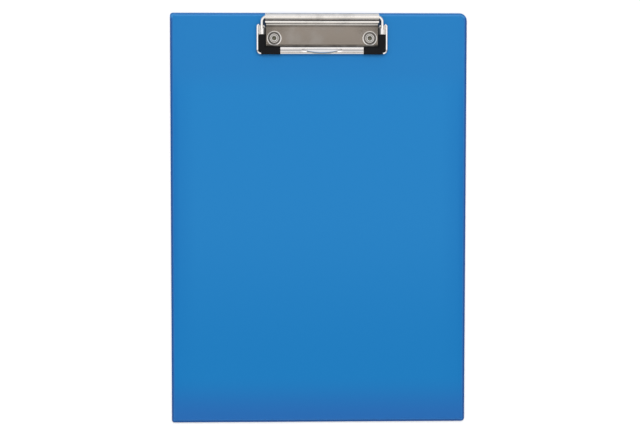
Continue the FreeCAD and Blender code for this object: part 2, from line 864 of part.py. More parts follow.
def crease_place():
    """Where the bar's back bead ends and its front strip starts."""
    reach = bar_back + given.crease_setback
    bead_reach = bar_back + given.bead_radius
    bead_height = floor_top + given.bead_rise - given.bead_radius
    past = reach - bead_reach
    height = bead_height + root(given.bead_radius * given.bead_radius - past * past)
    return reach, height, bead_reach, bead_height


def make_bar_half():
    """Half of the bar: the floor folded up in front, back over itself, and down behind the crease."""
    crease_reach, crease_height, bead_reach, bead_height = crease_place()
    crest = floor_top + given.bar_crest_rise
    foot = (frame_reach - bend_outer, floor_bottom + bend_outer)
    front_radius = crest - foot[1] - given.bar_front_wall
    crest_reach = frame_reach - front_radius
    strip_run = crest_reach - crease_reach
    strip_drop = crest - crease_height
    strip_radius = (strip_run * strip_run + strip_drop * strip_drop) / (strip_drop * 2)
    front = (crest_reach, crest - front_radius)
    run = SheetRun(given.frame_sheet, bar_back, bead_height)
    bead = (bead_reach, bead_height)
    run.arc_to(bead_reach, bead_height + given.bead_radius, bead, given.bead_radius)
    run.arc_to(crease_reach, crease_height, bead, given.bead_radius)
    run.arc_to(crest_reach, crest, (crest_reach, crest - strip_radius), strip_radius)
    run.arc_to(frame_reach, front[1], front, front_radius)
    run.line_to(frame_reach, foot[1])
    run.arc_to(foot[0], floor_bottom, foot, bend_outer)
    run.line_to(bar_back, floor_bottom)
    section = free_sketch("bar_section", SIDE_VIEW, ("x", half_bar))
    run.draw(section)
    return extrude(section, half_bar)


def make_finger_lift():
    """Lens-shaped lip that rises forward from the bar's bead, for a fingertip to push up."""
    crease_reach, _, bead_reach, bead_height = crease_place()
    back_height = bead_height + given.bead_radius
    front_reach = crease_reach + given.lift_front_bow
    front_height = floor_top + given.bar_crest_rise + given.lift_rise
    run = front_reach - bead_reach
    slope = (front_height - back_height) / run
    drop = given.frame_sheet * root(slope * slope + 1)
    far_reach = front_reach + given.cut_overrun
    far_height = front_height + slope * given.cut_overrun
    ramp = free_sketch("lift_ramp", SIDE_VIEW)
    pen = Pen(ramp, bead_reach, back_height)
    pen.line_to(far_reach, far_height)
    pen.line_to(far_reach, far_height - drop)
    pen.line_to(bead_reach, back_height - drop)
    pen.line_home()

    half = given.lift_width / 2
    back_radius = (half * half / given.lift_back_bow + given.lift_back_bow) / 2
    front_radius = (half * half / given.lift_front_bow + given.lift_front_bow) / 2
    lens = free_sketch("lift_outline", PLAN_VIEW)
    pen = Pen(lens, -half, -crease_reach)
    pen.arc_to(half, -crease_reach, front_radius, ANTICLOCKWISE)
    pen.arc_home(back_radius, ANTICLOCKWISE)
    return common("finger_lift", extrude(ramp, given.lift_width, symmetric=True),
                  extrude(lens, far_height))


def make_clamp_frame():
    """One pressed sheet: two arms crimped on the wire, two corners under the caps, and the bar."""
    right_half = fuse("frame_right_half", make_frame_floor(), make_frame_rim(), make_wire_flap(),
                      make_bar_half())
    left_half = doc.addObject("Part::Mirroring", "frame_left_half")
    left_half.Source = right_half
    left_half.Normal = FreeCAD.Vector(1, 0, 0)
    frame = fuse("clamp_frame", right_half, left_half, make_finger_lift())
    put_on_board(frame)
    return frame


def make_corner_cap(name, side):
    """Moulded cap, slotted over the frame's floor: a sole that grips the paper, and a low ledge."""
    gap = given.cap_fit_gap
    back = wire_end + gap
    outer = frame_outer - hem_width - gap
    corner = given.frame_corner_radius - hem_width - gap
    rim_end = frame_outer - given.frame_corner_radius
    turn_reach = frame_reach - given.frame_corner_radius
    toe_end = half_bar + gap
    top = floor_top + given.cap_rise
    body = new_body(name)

    outline = body_sketch(body, f"{name}_outline", lift=given.jaw_gap)
    pen = Pen(outline, arm_inner, -back, side)
    pen.line_to(arm_inner, -bar_back)
    pen.line_to(toe_end, -bar_back)
    pen.line_to(toe_end, -frame_reach)
    pen.line_to(rim_end - gap, -frame_reach)
    pen.line_to(rim_end - gap, -turn_reach - corner)
    pen.line_to(rim_end, -turn_reach - corner)
    pen.arc_to(outer, -turn_reach, corner, ANTICLOCKWISE)
    pen.line_to(outer, -back)
    pen.line_home()
    pad(body, outline, top - given.jaw_gap)

    ledge = body_sketch(body, f"{name}_ledge", lift=top)
    step_across = arm_inner + given.cap_ledge_width
    step_reach = bar_back + given.cap_ledge_width
    past = given.cut_overrun
    pen = Pen(ledge, arm_inner - past, past - back, side)
    pen.line_to(arm_inner - past, past - bar_back)
    pen.line_to(toe_end - past, past - bar_back)
    pen.line_to(toe_end - past, -step_reach)
    pen.line_to(step_across, -step_reach)
    pen.line_to(step_across, past - back)
    pen.line_home()
    pocket(body, ledge, given.cap_ledge_depth)
    bevel_edges(body, f"{name}_edges", given.cap_edge_bevel, top)

    slot = body_sketch(body, f"{name}_slot", lift=floor_top)
    draw_floor_outline(slot, side)
    pocket(body, slot, given.frame_sheet)
    put_on_board(body)
    return body


doc.recompute()
pieces = [make_core_board(), make_cover("front_cover", False), make_cover("back_cover", True),
          make_base_plate(), make_rivet("rivet_left", LEFT), make_rivet("rivet_right", RIGHT),
          make_spring_wire(), make_clamp_frame(),
          make_corner_cap("corner_cap_left", LEFT), make_corner_cap("corner_cap_right", RIGHT)]
doc.recompute()

faulty = [item.Name for item in doc.Objects if {"Invalid", "Error"} & set(item.State)]
if faulty:
    raise RuntimeError(f"failed objects: {faulty}")
for piece in pieces:
    if piece.Shape.isNull() or not piece.Shape.isValid():
        raise RuntimeError(f"{piece.Label} has no valid shape")
os.makedirs("parts", exist_ok=True)
for piece in pieces:
    piece.Shape.exportStep(os.path.join("parts", f"{piece.Label}.step"))
    box = piece.Shape.BoundBox
    print(f"{piece.Label}: {len(piece.Shape.Solids)} solid, volume {piece.Shape.Volume:.1f},"
          f" {box.XLength:.2f} x {box.YLength:.2f} x {box.ZLength:.2f}")
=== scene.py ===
# %% [markdown]
# # A flat clipboard with a low spring clip
#
# A clipboard of this kind is a stiff grey board between two blue vinyl films, with a nickel-plated
# wire clip riveted across its top edge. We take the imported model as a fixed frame: it says where
# every piece sits and which pieces swing with the clamp. Then we model each piece again with the
# soft bends, beads and rolled edges that a press and a welding bar leave, and give it its finish.

import json
import math

import bpy
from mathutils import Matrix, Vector


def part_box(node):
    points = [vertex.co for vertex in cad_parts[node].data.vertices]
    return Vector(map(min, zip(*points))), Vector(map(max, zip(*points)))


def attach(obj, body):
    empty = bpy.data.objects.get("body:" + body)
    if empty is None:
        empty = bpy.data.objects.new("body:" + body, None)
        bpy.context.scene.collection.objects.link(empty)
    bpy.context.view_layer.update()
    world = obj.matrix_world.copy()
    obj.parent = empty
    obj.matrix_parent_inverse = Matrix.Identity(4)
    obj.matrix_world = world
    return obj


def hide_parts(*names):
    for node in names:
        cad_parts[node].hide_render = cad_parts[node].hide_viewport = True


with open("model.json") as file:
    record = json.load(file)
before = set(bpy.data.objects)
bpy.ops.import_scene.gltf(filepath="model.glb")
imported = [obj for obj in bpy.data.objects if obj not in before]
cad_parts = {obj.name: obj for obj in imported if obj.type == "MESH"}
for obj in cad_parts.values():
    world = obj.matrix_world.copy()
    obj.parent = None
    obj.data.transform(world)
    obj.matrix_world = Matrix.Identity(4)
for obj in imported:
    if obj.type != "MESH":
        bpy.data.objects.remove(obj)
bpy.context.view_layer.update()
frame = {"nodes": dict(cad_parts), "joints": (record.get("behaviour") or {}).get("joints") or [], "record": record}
print("nodes:", ", ".join(sorted(frame["nodes"])))

# %% [markdown]
# ## Places taken from the frame
#
# All lengths are metres, but a clip is easier to think of in millimetres, so we keep one unit for
# them. The hinge axis of the clamp is the clip's own origin: it lies in the middle of the rolled
# barrel. We read it from the joint, and the board's size and face from its films.

# %% Board and hinge
MM = 0.001

board_low, board_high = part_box("back_cover")
board_half = (board_high - board_low) / 2
face_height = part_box("front_cover")[1].z
weld_height = face_height / 2
hinge = Vector(frame["joints"][0]["pos_m"])
rivets = [(low + high) / 2 for low, high in (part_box("rivet_left"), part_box("rivet_right"))]
for rivet in rivets:
    rivet.z = 0.0
print("board half size in mm:", round(board_half.x / MM, 2), round(board_half.y / MM, 2))
print("hinge axis in mm:", [round(c / MM, 2) for c in hinge])

# %% [markdown]
# ## Camera
#
# The photograph was taken from straight above with a long lens, a little up the board and left of
# its middle, so the board's sides converge by less than one percent. The camera's place and its
# small tilts were found by matching the four corners of the board. The turns are given about the
# fixed axes, because a view straight down leaves the usual aiming helpers undecided.

# %% Camera
CAMERA_PLACE = (-54.9 * MM, 118.0 * MM, 1492.4 * MM)
CAMERA_TURNS = (-4.539, -2.144, -0.114)
LENS, SENSOR_WIDTH = 107.83, 36.0

camera = bpy.data.objects.new("camera", bpy.data.cameras.new("camera"))
bpy.context.scene.collection.objects.link(camera)
camera.location = CAMERA_PLACE
camera.rotation_mode = "ZYX"
camera.rotation_euler = [math.radians(turn) for turn in CAMERA_TURNS]
camera.data.lens = LENS
camera.data.sensor_width = SENSOR_WIDTH
bpy.context.scene.camera = camera
bpy.context.scene.view_settings.view_transform = "Standard"
print("camera looks down from", round(camera.location.z, 3), "m")

# %% [markdown]
# ## Shader values as sums
#
# A finish is a small calculation: a mask times a depth, one colour faded into another. Node trees
# hide that, so we wrap a socket in a class that adds a Math node for each sign we write, and one
# method that adds any other node. A finish then reads like its formula.

# %% The class for shader values
class Shade:
    """A value inside a node tree. Signs between two of them, or with a number, add Math nodes."""

    def __init__(self, tree, socket=None):
        self.tree = tree
        self.socket = socket

    def node(self, kind, settings=None, output=0, **inputs):
        """Adds a node: settings first, then the values or links of its sockets."""
        made = self.tree.nodes.new(kind)
        for name, value in (settings or {}).items():
            setattr(made, name, value)
        for name, value in inputs.items():
            place = int(name[1:]) if name[1:].isdigit() else name.replace("_", " ")
            if isinstance(value, Shade):
                self.tree.links.new(value.socket, made.inputs[place])
            else:
                made.inputs[place].default_value = value
        return Shade(self.tree, made.outputs[output] if made.outputs else None)

    def _math(self, operation, first, second):
        return self.node("ShaderNodeMath", {"operation": operation}, i0=first, i1=second)

    def __add__(self, other):
        return self._math("ADD", self, other)

    def __sub__(self, other):
        return self._math("SUBTRACT", self, other)

    def __rsub__(self, other):
        return self._math("SUBTRACT", other, self)

    def __mul__(self, other):
        return self._math("MULTIPLY", self, other)

    __radd__, __rmul__ = __add__, __mul__

    def larger(self, other):
        return self._math("MAXIMUM", self, other)

    def size(self):
        """The value without its sign."""
        return self.node("ShaderNodeMath", {"operation": "ABSOLUTE"}, i0=self)

    def in_mm(self):
        return self * (1 / MM)

    def fade(self, start, end):
        """0 below the start, 1 beyond the end and smooth between them."""
        return self.node("ShaderNodeMapRange", {"interpolation_type": "SMOOTHSTEP"},
                         Value=self, From_Min=start, From_Max=end)

    def band(self, start, full, last, end):
        """1 from the full place to the last one, and 0 before the start and beyond the end."""
        return self.fade(start, full) * (1 - self.fade(last, end))

    def between(self, colour, other):
        """One colour where this value is 0 and the other where it is 1."""
        return self.node("ShaderNodeMix", {"data_type": "RGBA"}, output=2,
                         i0=self, i6=solid(colour), i7=solid(other))

    def place(self):
        """The place on the piece, in its own coordinates."""
        return self.node("ShaderNodeTexCoord", output=3)

    def part(self, axis):
        """One number of a place: 0 is across the board, 1 along it and 2 up."""
        return self.node("ShaderNodeSeparateXYZ", output=axis, Vector=self)

    def noise(self, scale, detail):
        return self.node("ShaderNodeTexNoise", Vector=self, Scale=scale, Detail=detail)

    def relief(self, distance, strength):
        """Bumps as high as this value, times a distance in mm."""
        return self.node("ShaderNodeBump", Height=self, Distance=distance * MM, Strength=strength)


def solid(colour):
    return (*colour, 1.0) if isinstance(colour, tuple) else colour


def start_material(name):
    """A new material with an empty tree, and a first value to write its formula from."""
    material = bpy.data.materials.new(name)
    material.use_nodes = True
    material.node_tree.nodes.clear()
    return material, Shade(material.node_tree)


def finish_surface(shade, **inputs):
    """Ends a material in one Principled surface with these sockets."""
    surface = shade.node("ShaderNodeBsdfPrincipled", **inputs)
    shade.node("ShaderNodeOutputMaterial", Surface=surface)


print("shader values ready")

# %% [markdown]
# ## Floor
#
# The board lies on a plain white table. A white floor that is lit as the board is stays a little
# under white, so a faint light of its own is added for the camera alone, which keeps the shadow
# under the rim.

# %% Floor
FLOOR_SIZE = 6.0
FLOOR_DROP = 0.05 * MM
FLOOR_GLOW = 0.30

bpy.ops.object.select_all(action="DESELECT")
bpy.ops.mesh.primitive_plane_add(size=FLOOR_SIZE, location=(0.0, 0.0, -FLOOR_DROP))
floor = bpy.context.object
floor.name = "floor"
material, shade = start_material("white_table")
seen = shade.node("ShaderNodeLightPath", output=0)
paper = shade.node("ShaderNodeBsdfDiffuse", Color=(0.86, 0.86, 0.86, 1.0))
glow = shade.node("ShaderNodeEmission", Color=(1.0, 1.0, 1.0, 1.0), Strength=seen * FLOOR_GLOW)
both = shade.node("ShaderNodeAddShader", i0=paper, i1=glow)
shade.node("ShaderNodeOutputMaterial", Surface=both)
floor.data.materials.append(material)
print("floor at", floor.location.z / MM, "mm")

# %% [markdown]
# ## Light
#
# A plated clip looks like what it mirrors, so its light is a room: bright panels overhead that
# fade towards the walls, and one dark spot straight above, where the lens is. The flat field of
# the clip points at that spot and looks brown-grey, while its round barrel gathers the panels into
# white lines. The board is lit evenly by the same room and a broad lamp beyond the clip, which
# makes its top end slightly brighter than its bottom end.

# %% Room
# Each stop: the angle from the mirrored lens as a share of a quarter turn, and the light there.
ROOM_STOPS = [
    (0.000, (0.330, 0.292, 0.258)),
    (0.072, (0.360, 0.325, 0.290)),
    (0.105, (1.50, 1.48, 1.46)),
    (0.240, (1.50, 1.48, 1.48)),
    (0.420, (1.15, 1.15, 1.16)),
    (0.560, (0.85, 0.85, 0.87)),
    (0.760, (0.70, 0.71, 0.73)),
    (1.000, (0.38, 0.40, 0.43)),
]
NEAR_END, FAR_END, GAP_BETWEEN = (0.72, 0.70, 0.67), (1.30, 1.32, 1.36), (0.30, 0.30, 0.32)
SOFT_LIGHT = (0.62, 0.62, 0.63)

clip_to_lens = Vector(camera.location) - hinge
lens_mirrored = Vector((-clip_to_lens.x, -clip_to_lens.y, clip_to_lens.z)).normalized()

world = bpy.data.worlds.new("room")
bpy.context.scene.world = world
world.use_nodes = True
world.node_tree.nodes.clear()
shade = Shade(world.node_tree)
direction = shade.node("ShaderNodeTexCoord", output=0)
toward_lens = shade.node("ShaderNodeVectorMath", {"operation": "DOT_PRODUCT"}, output=1,
                         i0=direction, i1=tuple(lens_mirrored))
angle = shade.node("ShaderNodeMath", {"operation": "ARCCOSINE"}, i0=toward_lens) * (2 / math.pi)
walls = shade.node("ShaderNodeValToRGB", Fac=angle)
stops = walls.socket.node.color_ramp.elements
while len(stops) < len(ROOM_STOPS):
    stops.new(1.0)
for stop, (place, colour) in zip(stops, ROOM_STOPS):
    stop.position = place
    stop.color = (*colour, 1.0)
along = direction.part(1)
ends = (along * 0.5 + 0.5).between(NEAR_END, FAR_END)
ends = (along.band(0.42, 0.55, 0.80, 0.90) * 0.4).between(ends, GAP_BETWEEN)
panels = shade.node("ShaderNodeMix", {"data_type": "RGBA", "blend_type": "MULTIPLY"}, output=2,
                    i0=1.0, i6=walls, i7=ends)
mirrored = shade.node("ShaderNodeLightPath", output=3)
camera_ray = shade.node("ShaderNodeLightPath", output=0)
room = camera_ray.between(mirrored.between(SOFT_LIGHT, panels), (1.0, 1.0, 1.0))
sky = shade.node("ShaderNodeBackground", Color=room, Strength=1.0)
shade.node("ShaderNodeOutputWorld", Surface=sky)
print("mirrored lens direction:", [round(c, 3) for c in lens_mirrored])

# %% Lamps
def hang_panel(name, place, size, power):
    """A soft rectangular lamp that points at the board. Plated sheet mirrors the room instead."""
    lamp = bpy.data.objects.new(name, bpy.data.lights.new(name, "AREA"))
    lamp.data.shape = "RECTANGLE"
    lamp.data.size, lamp.data.size_y = size
    lamp.data.energy = power
    lamp.location = place
    lamp.rotation_euler = (-Vector(place)).to_track_quat("-Z", "Y").to_euler()
    lamp.visible_glossy = False
    bpy.context.scene.collection.objects.link(lamp)


hang_panel("panel_beyond_clip", (0.1, 0.85, 1.35), (1.3, 0.8), 9.5)
hang_panel("panel_front", (-0.5, -1.2, 1.5), (1.2, 0.8), 4.0)

# %% [markdown]
# ## Blue film
#
# The cover is a calendered vinyl film: a strong blue with a very fine grain that breaks up its
# gloss. Along the weld the rim is darker and more violet than the face, partly the two films'
# own tone where they have run together and partly painted shade of the edge turning away; at
# the board's top end the rim is painted lighter, a painted highlight. The face turns slightly
# darker near the sides, is painted lighter towards the top end and darker towards the bottom as
# a painted fall of light, and painted shade darkens it beside the clip. Over the last few
# centimetres at the bottom end it is darker and more violet. The tone follows the distance from
# the outline, which each film carries in its mesh as a number called from_edge. Under the clip
# and beside its barrel a painted shadow darkens the front film, and the weld behind the barrel is
# painted paler.

# %% Film finish
# The nearly black colour of the painted shadow on the front film.
PAINTED_SHADOW_DARK = (0.02, 0.016, 0.014)
PALE_BEHIND_BARREL = (0.42, 0.47, 0.54)


def clip_places(place):
    """How far a place lies forward of the hinge, and beside the clip's middle, in mm."""
    return (hinge.y - place.part(1)).in_mm(), (place.part(0) - hinge.x).size().in_mm()


def make_film_finish():
    material, shade = start_material("vinyl_film")
    place = shade.place()
    from_edge = shade.node("ShaderNodeAttribute", {"attribute_name": "from_edge"}, output=2).in_mm()
    from_side = (board_half.x - place.part(0).size()).in_mm()
    up_board, half = place.part(1).in_mm(), board_half.y / MM
    # Darker near the sides, and painted lighter towards the top end: a painted fall of light from the lamp beyond
    # the clip.
    inwards = 0.57 * from_side.fade(1.5, 8.0) + 0.43 * from_side.fade(4.0, 22.0)
    painted_light_and_side_tone = inwards + 0.6 * up_board.fade(0.4 * half, 0.9 * half) * (1 - inwards)
    # Painted shade: the lower half is painted darker as a painted fall of light, and the band beside the clip
    # darker as its shade.
    lower_half = 1 - up_board.fade(-0.75 * half, 0.1 * half)
    beside_clip = up_board.fade(0.60 * half, 0.75 * half)
    # The last few centimetres at the bottom end turn darker and more violet.
    low_end = 1 - up_board.fade(2.0 - half, 38.0 - half)
    face = painted_light_and_side_tone.between((0.001, 0.158, 0.470), (0.0105, 0.216, 0.548))
    face = (place.noise(9.0, 2.0) * 0.3).between(face, (0.012, 0.220, 0.552))
    face = (lower_half * 0.75).between(face, (0.000, 0.192, 0.515))
    face = (beside_clip * 0.6).between(face, (0.014, 0.196, 0.510))
    face = (low_end * 0.85).between(face, (0.014, 0.132, 0.438))

    # The rim is darker and more violet than the face, partly the welded films' own tone and partly painted shade
    # of the edge turning away. At the top end both rim lines are painted lighter, a painted highlight.
    top_rim = up_board.fade(half - 5.0, half - 2.5)
    edge_line = top_rim.between((0.010, 0.085, 0.290), (0.035, 0.190, 0.480))
    fold_line = top_rim.between((0.030, 0.190, 0.530), (0.060, 0.300, 0.650))
    rim = from_edge.fade(1.0, 1.5).between(edge_line, fold_line)
    colour = from_edge.fade(1.7, 2.6).between(rim, face)

    reach, sideways = clip_places(place)
    height = place.part(2).in_mm()
    # Painted shadow: the front film is painted nearly black under the clip and, a little less, beside its barrel.
    under_clip = (1 - sideways.fade(43.7, 43.9)) * reach.band(4.5, 5.0, 23.3, 23.6)
    beside_barrel = sideways.band(43.2, 43.6, 45.6, 46.4) * reach.band(1.0, 2.0, 6.0, 8.0)
    painted_shadow = under_clip.larger(beside_barrel * 0.8) * height.fade(2.4, 2.8)
    colour = painted_shadow.between(colour, PAINTED_SHADOW_DARK)
    # The weld behind the barrel is painted paler.
    behind_barrel = (1 - sideways.fade(43.8, 44.2)) * (1 - reach.fade(-2.5, -2.3))
    colour = (behind_barrel * height.fade(1.5, 1.6) * 0.8).between(colour, PALE_BEHIND_BARREL)

    grain = place.noise(2600.0, 3.0)
    waves = place.noise(16.0, 1.0)
    finish_surface(shade, Base_Color=colour, Roughness=0.42 + 0.10 * grain,
                   Specular_IOR_Level=0.25, Normal=(grain * 0.012 + waves * 0.25).relief(1.0, 0.6))
    return material


vinyl_film = make_film_finish()
print("film finish:", len(vinyl_film.node_tree.nodes), "nodes")

# %% [markdown]
# ## Nickel plate
#
# Bright nickel on pressed steel isn't a perfect mirror: the sheet keeps a faint waviness from the
# press, fine wiping marks, and a dull bloom where hands and tools have touched it. The plate, the
# frame, the rivets and the wire share the plating, and differ in how wavy and how clean they are.
# Painted shade darkens the plating in its valley and folds, at its ends, beside and in the cups,
# and on the frame's crease, strip and flaps, and dull grey is painted along the finger lip's front
# edge as its shade. Inside their tubes the rivets stay unplated and dusty.

# %% Plated finishes
BLOOM_DEPTH, PAINTED_SHADE_DEPTH = 0.72, 0.10
# Unplated steel inside the rivets' tubes, and painted grey shade along the finger lip.
BARE_OR_SHADE_GREY = (0.33, 0.32, 0.24)


def deeper(tint, share):
    return tuple(share * part for part in tint)


def make_plating(name, tint, waviness, dullness, painted_shade=None, blur=None, bare_or_grey_shade=None):
    """A plated finish: painted shade darkens it, blur roughens it, the last mask dulls it to grey."""
    material, shade = start_material(name)
    place = shade.place()
    bloom = place.noise(70.0, 3.0).fade(0.45, 0.75)
    wiping = shade.node("ShaderNodeMapping", Vector=place, Scale=(1.0, 9.0, 9.0)).noise(420.0, 4.0)
    waves = place.noise(110.0, 1.5)
    colour = (bloom * dullness).between(tint, deeper(tint, BLOOM_DEPTH))
    roughness = 0.07 + 0.10 * bloom * dullness + 0.05 * wiping
    metallic = 1.0
    # Painted shade: the colour darkens towards a deep tint where its mask is high.
    if painted_shade:
        colour = painted_shade(place).between(colour, deeper(tint, PAINTED_SHADE_DEPTH))
    if blur:
        roughness = roughness + blur(place)
    # Unplated steel inside the rivets, or painted grey shade on the lip: a dull grey that is not metal.
    if bare_or_grey_shade:
        share = bare_or_grey_shade(place)
        metallic = 1 - share
        roughness = roughness + 0.4 * share
        colour = share.between(colour, BARE_OR_SHADE_GREY)
    finish_surface(shade, Base_Color=colour, Metallic=metallic, Roughness=roughness,
                   Normal=(waves * waviness + wiping * 0.002).relief(1.0, 1.0))
    return material


def distance_to_rivet(place):
    """The distance to the nearer rivet in mm, seen from above. Both lie alike beside the middle."""
    reach, sideways = clip_places(place)
    offset = place.node("ShaderNodeCombineXYZ", X=sideways - (rivets[1].x - hinge.x) / MM,
                        Y=reach - (hinge.y - rivets[0].y) / MM)
    return place.node("ShaderNodeVectorMath", {"operation": "LENGTH"}, output=1, i0=offset)


def painted_shade_on_plate(place):
    """Painted shade: the valley, the step's foot, the front bend, the ends, beside and in the cups."""
    reach, sideways = clip_places(place)
    valley = reach.band(1.9, 2.45, 2.9, 3.3) * 0.95
    foot = reach.band(5.9, 6.3, 7.0, 8.4) * 0.50
    front = reach.fade(20.8, 21.9) * 0.85 + reach.fade(12.0, 21.0) * 0.06
    ends = sideways.fade(36.0, 42.5) * reach.fade(5.9, 6.3) * 0.25
    # Painted shade beside the cups stands in for the field's wavy reflection there; a random stain varies all of
    # it.
    shade_beside_cups = sideways.fade(22.0, 34.0) * reach.band(5.9, 7.5, 10.0, 17.0) * 0.20
    cups = (1 - distance_to_rivet(place).fade(4.5, 4.8)) * 0.65
    stain = place.noise(160.0, 3.0).fade(0.2, 0.7)
    return (valley + foot + front + ends + shade_beside_cups + cups) * (0.75 + 0.25 * stain)


def painted_shade_on_frame(place):
    """Painted shade in the crease behind the bar's strip, on its ends and on the flaps' inner sides."""
    reach, sideways = clip_places(place)
    flaps = reach.band(7.5, 9.0, 13.0, 13.5) * (1 - sideways.fade(44.9, 45.4)) * 0.85
    beside_lip = sideways.fade(12.0, 17.0)
    strip = beside_lip * reach.band(25.4, 25.9, 27.1, 27.5) * (0.74 - 0.42 * reach.fade(26.3, 26.8))
    crease_line = reach.band(24.8, 25.05, 25.2, 25.7) * (0.5 - 0.25 * beside_lip)
    return flaps + strip + crease_line


def grey_shade_at_lip(place):
    """Painted shade: a dull grey line along the bowed front edge of the lip."""
    reach, sideways = clip_places(place)
    bowed = reach + sideways * sideways * (1.15 / 10.5 ** 2)
    return (1 - sideways.fade(11.0, 12.5)) * bowed.band(27.5, 27.75, 28.3, 28.5) * 0.8


def worn_arm_floor(place):
    """The floor of each arm is left as it came from the mill, so it blurs what it mirrors."""
    _, sideways = clip_places(place)
    return place.part(2).in_mm().band(4.25, 4.30, 4.40, 4.45) * sideways.fade(44.7, 45.0) * 0.12


def dull_bore(place):
    """Inside its tube the rivet is unplated and dusty."""
    return place.part(2).in_mm().band(0.9, 1.2, 3.9, 4.2)


nickel_plate = make_plating("nickel_plate", (0.80, 0.77, 0.73), 0.030, 0.8, painted_shade_on_plate)
nickel_sheet = make_plating("nickel_sheet", (0.84, 0.82, 0.80), 0.030, 0.4, painted_shade_on_frame,
                            worn_arm_floor, grey_shade_at_lip)
nickel_rivet = make_plating("nickel_rivet", (0.56, 0.55, 0.53), 0.015, 0.9, bare_or_grey_shade=dull_bore)
nickel_wire = make_plating("nickel_wire", (0.84, 0.82, 0.79), 0.010, 0.4)
print("plated finishes ready")

# %% [markdown]
# ## Black caps and grey board
#
# The corner caps are a soft black moulding with a fine eroded texture from the tool. The board
# inside the films is pressed grey fibre; nobody sees it, but it keeps its own flecked finish.

# %% Moulded and pressed finishes
def make_cap_finish():
    material, shade = start_material("cap_moulding")
    place = shade.place()
    erosion = place.noise(3200.0, 2.0)
    dust = place.noise(240.0, 4.0).fade(0.5, 0.8)
    colour = (dust * 0.5).between((0.003, 0.003, 0.004), (0.012, 0.011, 0.012))
    finish_surface(shade, Base_Color=colour, Roughness=0.42 + 0.18 * dust,
                   Specular_IOR_Level=0.12, Normal=erosion.relief(0.02, 0.7))
    return material


def make_board_finish():
    material, shade = start_material("fibre_board")
    fibres = shade.place().noise(900.0, 5.0)
    finish_surface(shade, Base_Color=fibres.between((0.30, 0.27, 0.23), (0.50, 0.46, 0.41)),
                   Roughness=0.9, Normal=fibres.relief(0.05, 0.6))
    return material


finishes = {
    "blue_film": vinyl_film, "plated_sheet": nickel_sheet, "plated_rivet": nickel_rivet,
    "plated_wire": nickel_wire, "black_cap": make_cap_finish(), "grey_board": make_board_finish(),
}
slots = {part["node"]: part["material_slot"] for part in frame["record"]["subparts"]}


def give_finish(piece, material):
    piece.data.materials.clear()
    piece.data.materials.append(material)


for node, slot in slots.items():
    give_finish(frame["nodes"][node], finishes[slot])
print("finishes given to", len(slots), "nodes")

# %% [markdown]
# ## Selecting and shaping by hand
#
# Every piece below starts as a simple shape that is pushed into form in edit mode. These helpers
# do what the mouse does: choose edges, faces or corners by their place, extrude and turn what is
# chosen, and close a piece with its modifiers.

# %% Choosing and starting
def leave_editing():
    if bpy.context.object and bpy.context.object.mode == "EDIT":
        bpy.ops.object.mode_set(mode="OBJECT")
    bpy.ops.object.select_all(action="DESELECT")


def take_up(*pieces):
    """Leaves edit mode and selects these objects, the first of them active."""
    leave_editing()
    for piece in pieces:
        piece.select_set(True)
    bpy.context.view_layer.objects.active = pieces[0]


def edit_all(piece):
    """Opens a piece for editing with all of it selected."""
    take_up(piece)
    bpy.ops.object.mode_set(mode="EDIT")
    bpy.ops.mesh.select_all(action="SELECT")


def begin_shape(name, add, size=(1.0, 1.0, 1.0), **settings):
    """Adds a primitive at its size and place, names it and opens it for editing."""
    leave_editing()
    add(**settings)
    piece = bpy.context.object
    piece.name = piece.data.name = name
    piece.scale = size
    bpy.ops.object.transform_apply(location=True, rotation=True, scale=True)
    bpy.ops.object.mode_set(mode="EDIT")
    return piece


def choose(piece, kind, wanted):
    """Selects the corners, edges or faces whose middle passes a test, and nothing else."""
    bpy.ops.object.mode_set(mode="EDIT")
    bpy.ops.mesh.select_mode(type=kind)
    bpy.ops.mesh.select_all(action="DESELECT")
    bpy.ops.object.mode_set(mode="OBJECT")
    mesh = piece.data
    if kind == "VERT":
        items = [(item, item.co) for item in mesh.vertices]
    elif kind == "EDGE":
        items = [(item, sum((mesh.vertices[i].co for i in item.vertices), Vector()) / 2)
                 for item in mesh.edges]
    else:
        items = [(item, item.center) for item in mesh.polygons]
    chosen = [item for item, middle in items if wanted(middle)]
    for item in chosen:
        item.select = True
    bpy.ops.object.mode_set(mode="EDIT")
    return len(chosen)


def join_pieces(*pieces):
    take_up(*pieces)
    bpy.ops.object.join()
    return pieces[0]


def copy_piece(piece, name):
    """A copy with a mesh of its own."""
    leave_editing()
    copy = piece.copy()
    copy.data = piece.data.copy()
    copy.name = copy.data.name = name
    bpy.context.scene.collection.objects.link(copy)
    return copy


print("helpers to choose, start, join and copy are ready")

# %% Shaping and closing
# Places closer than this, in mm, count as one, and edges flatter than this, in degrees, as smooth.
ALIKE, GENTLE = 0.002, 40.0


def extrude(across=0.0, along=0.0, up=0.0):
    """Extrudes what is chosen by a step in mm."""
    bpy.ops.mesh.extrude_region_move(
        TRANSFORM_OT_translate={"value": (across * MM, along * MM, up * MM)})


def spin(degrees, steps, centre, axis):
    """Carries what is chosen round an axis in steps."""
    bpy.ops.mesh.spin(steps=steps, angle=math.radians(degrees), center=centre, axis=axis)


def round_corner(plane, corner, radius, segments):
    """Rounds the corner that lies at this place to a radius in mm."""
    choose(plane, "VERT", lambda co: (co - corner).length < 0.2 * MM)
    bpy.ops.mesh.bevel(offset=radius * MM, segments=segments, affect="VERTICES")


def round_corners(plane, middle, half, corners, grow=0.0):
    """Rounds each corner of a plane to its own radius in mm."""
    for (side, end), radius in corners.items():
        round_corner(plane, middle + Vector((side * half.x, end * half.y, 0.0)), radius + grow, 10)


def cut_across(piece, place, normal, wanted=lambda co: True):
    """Cuts the chosen flat faces along a plane."""
    choose(piece, "FACE", wanted)
    bpy.ops.mesh.bisect(plane_co=place, plane_no=normal)


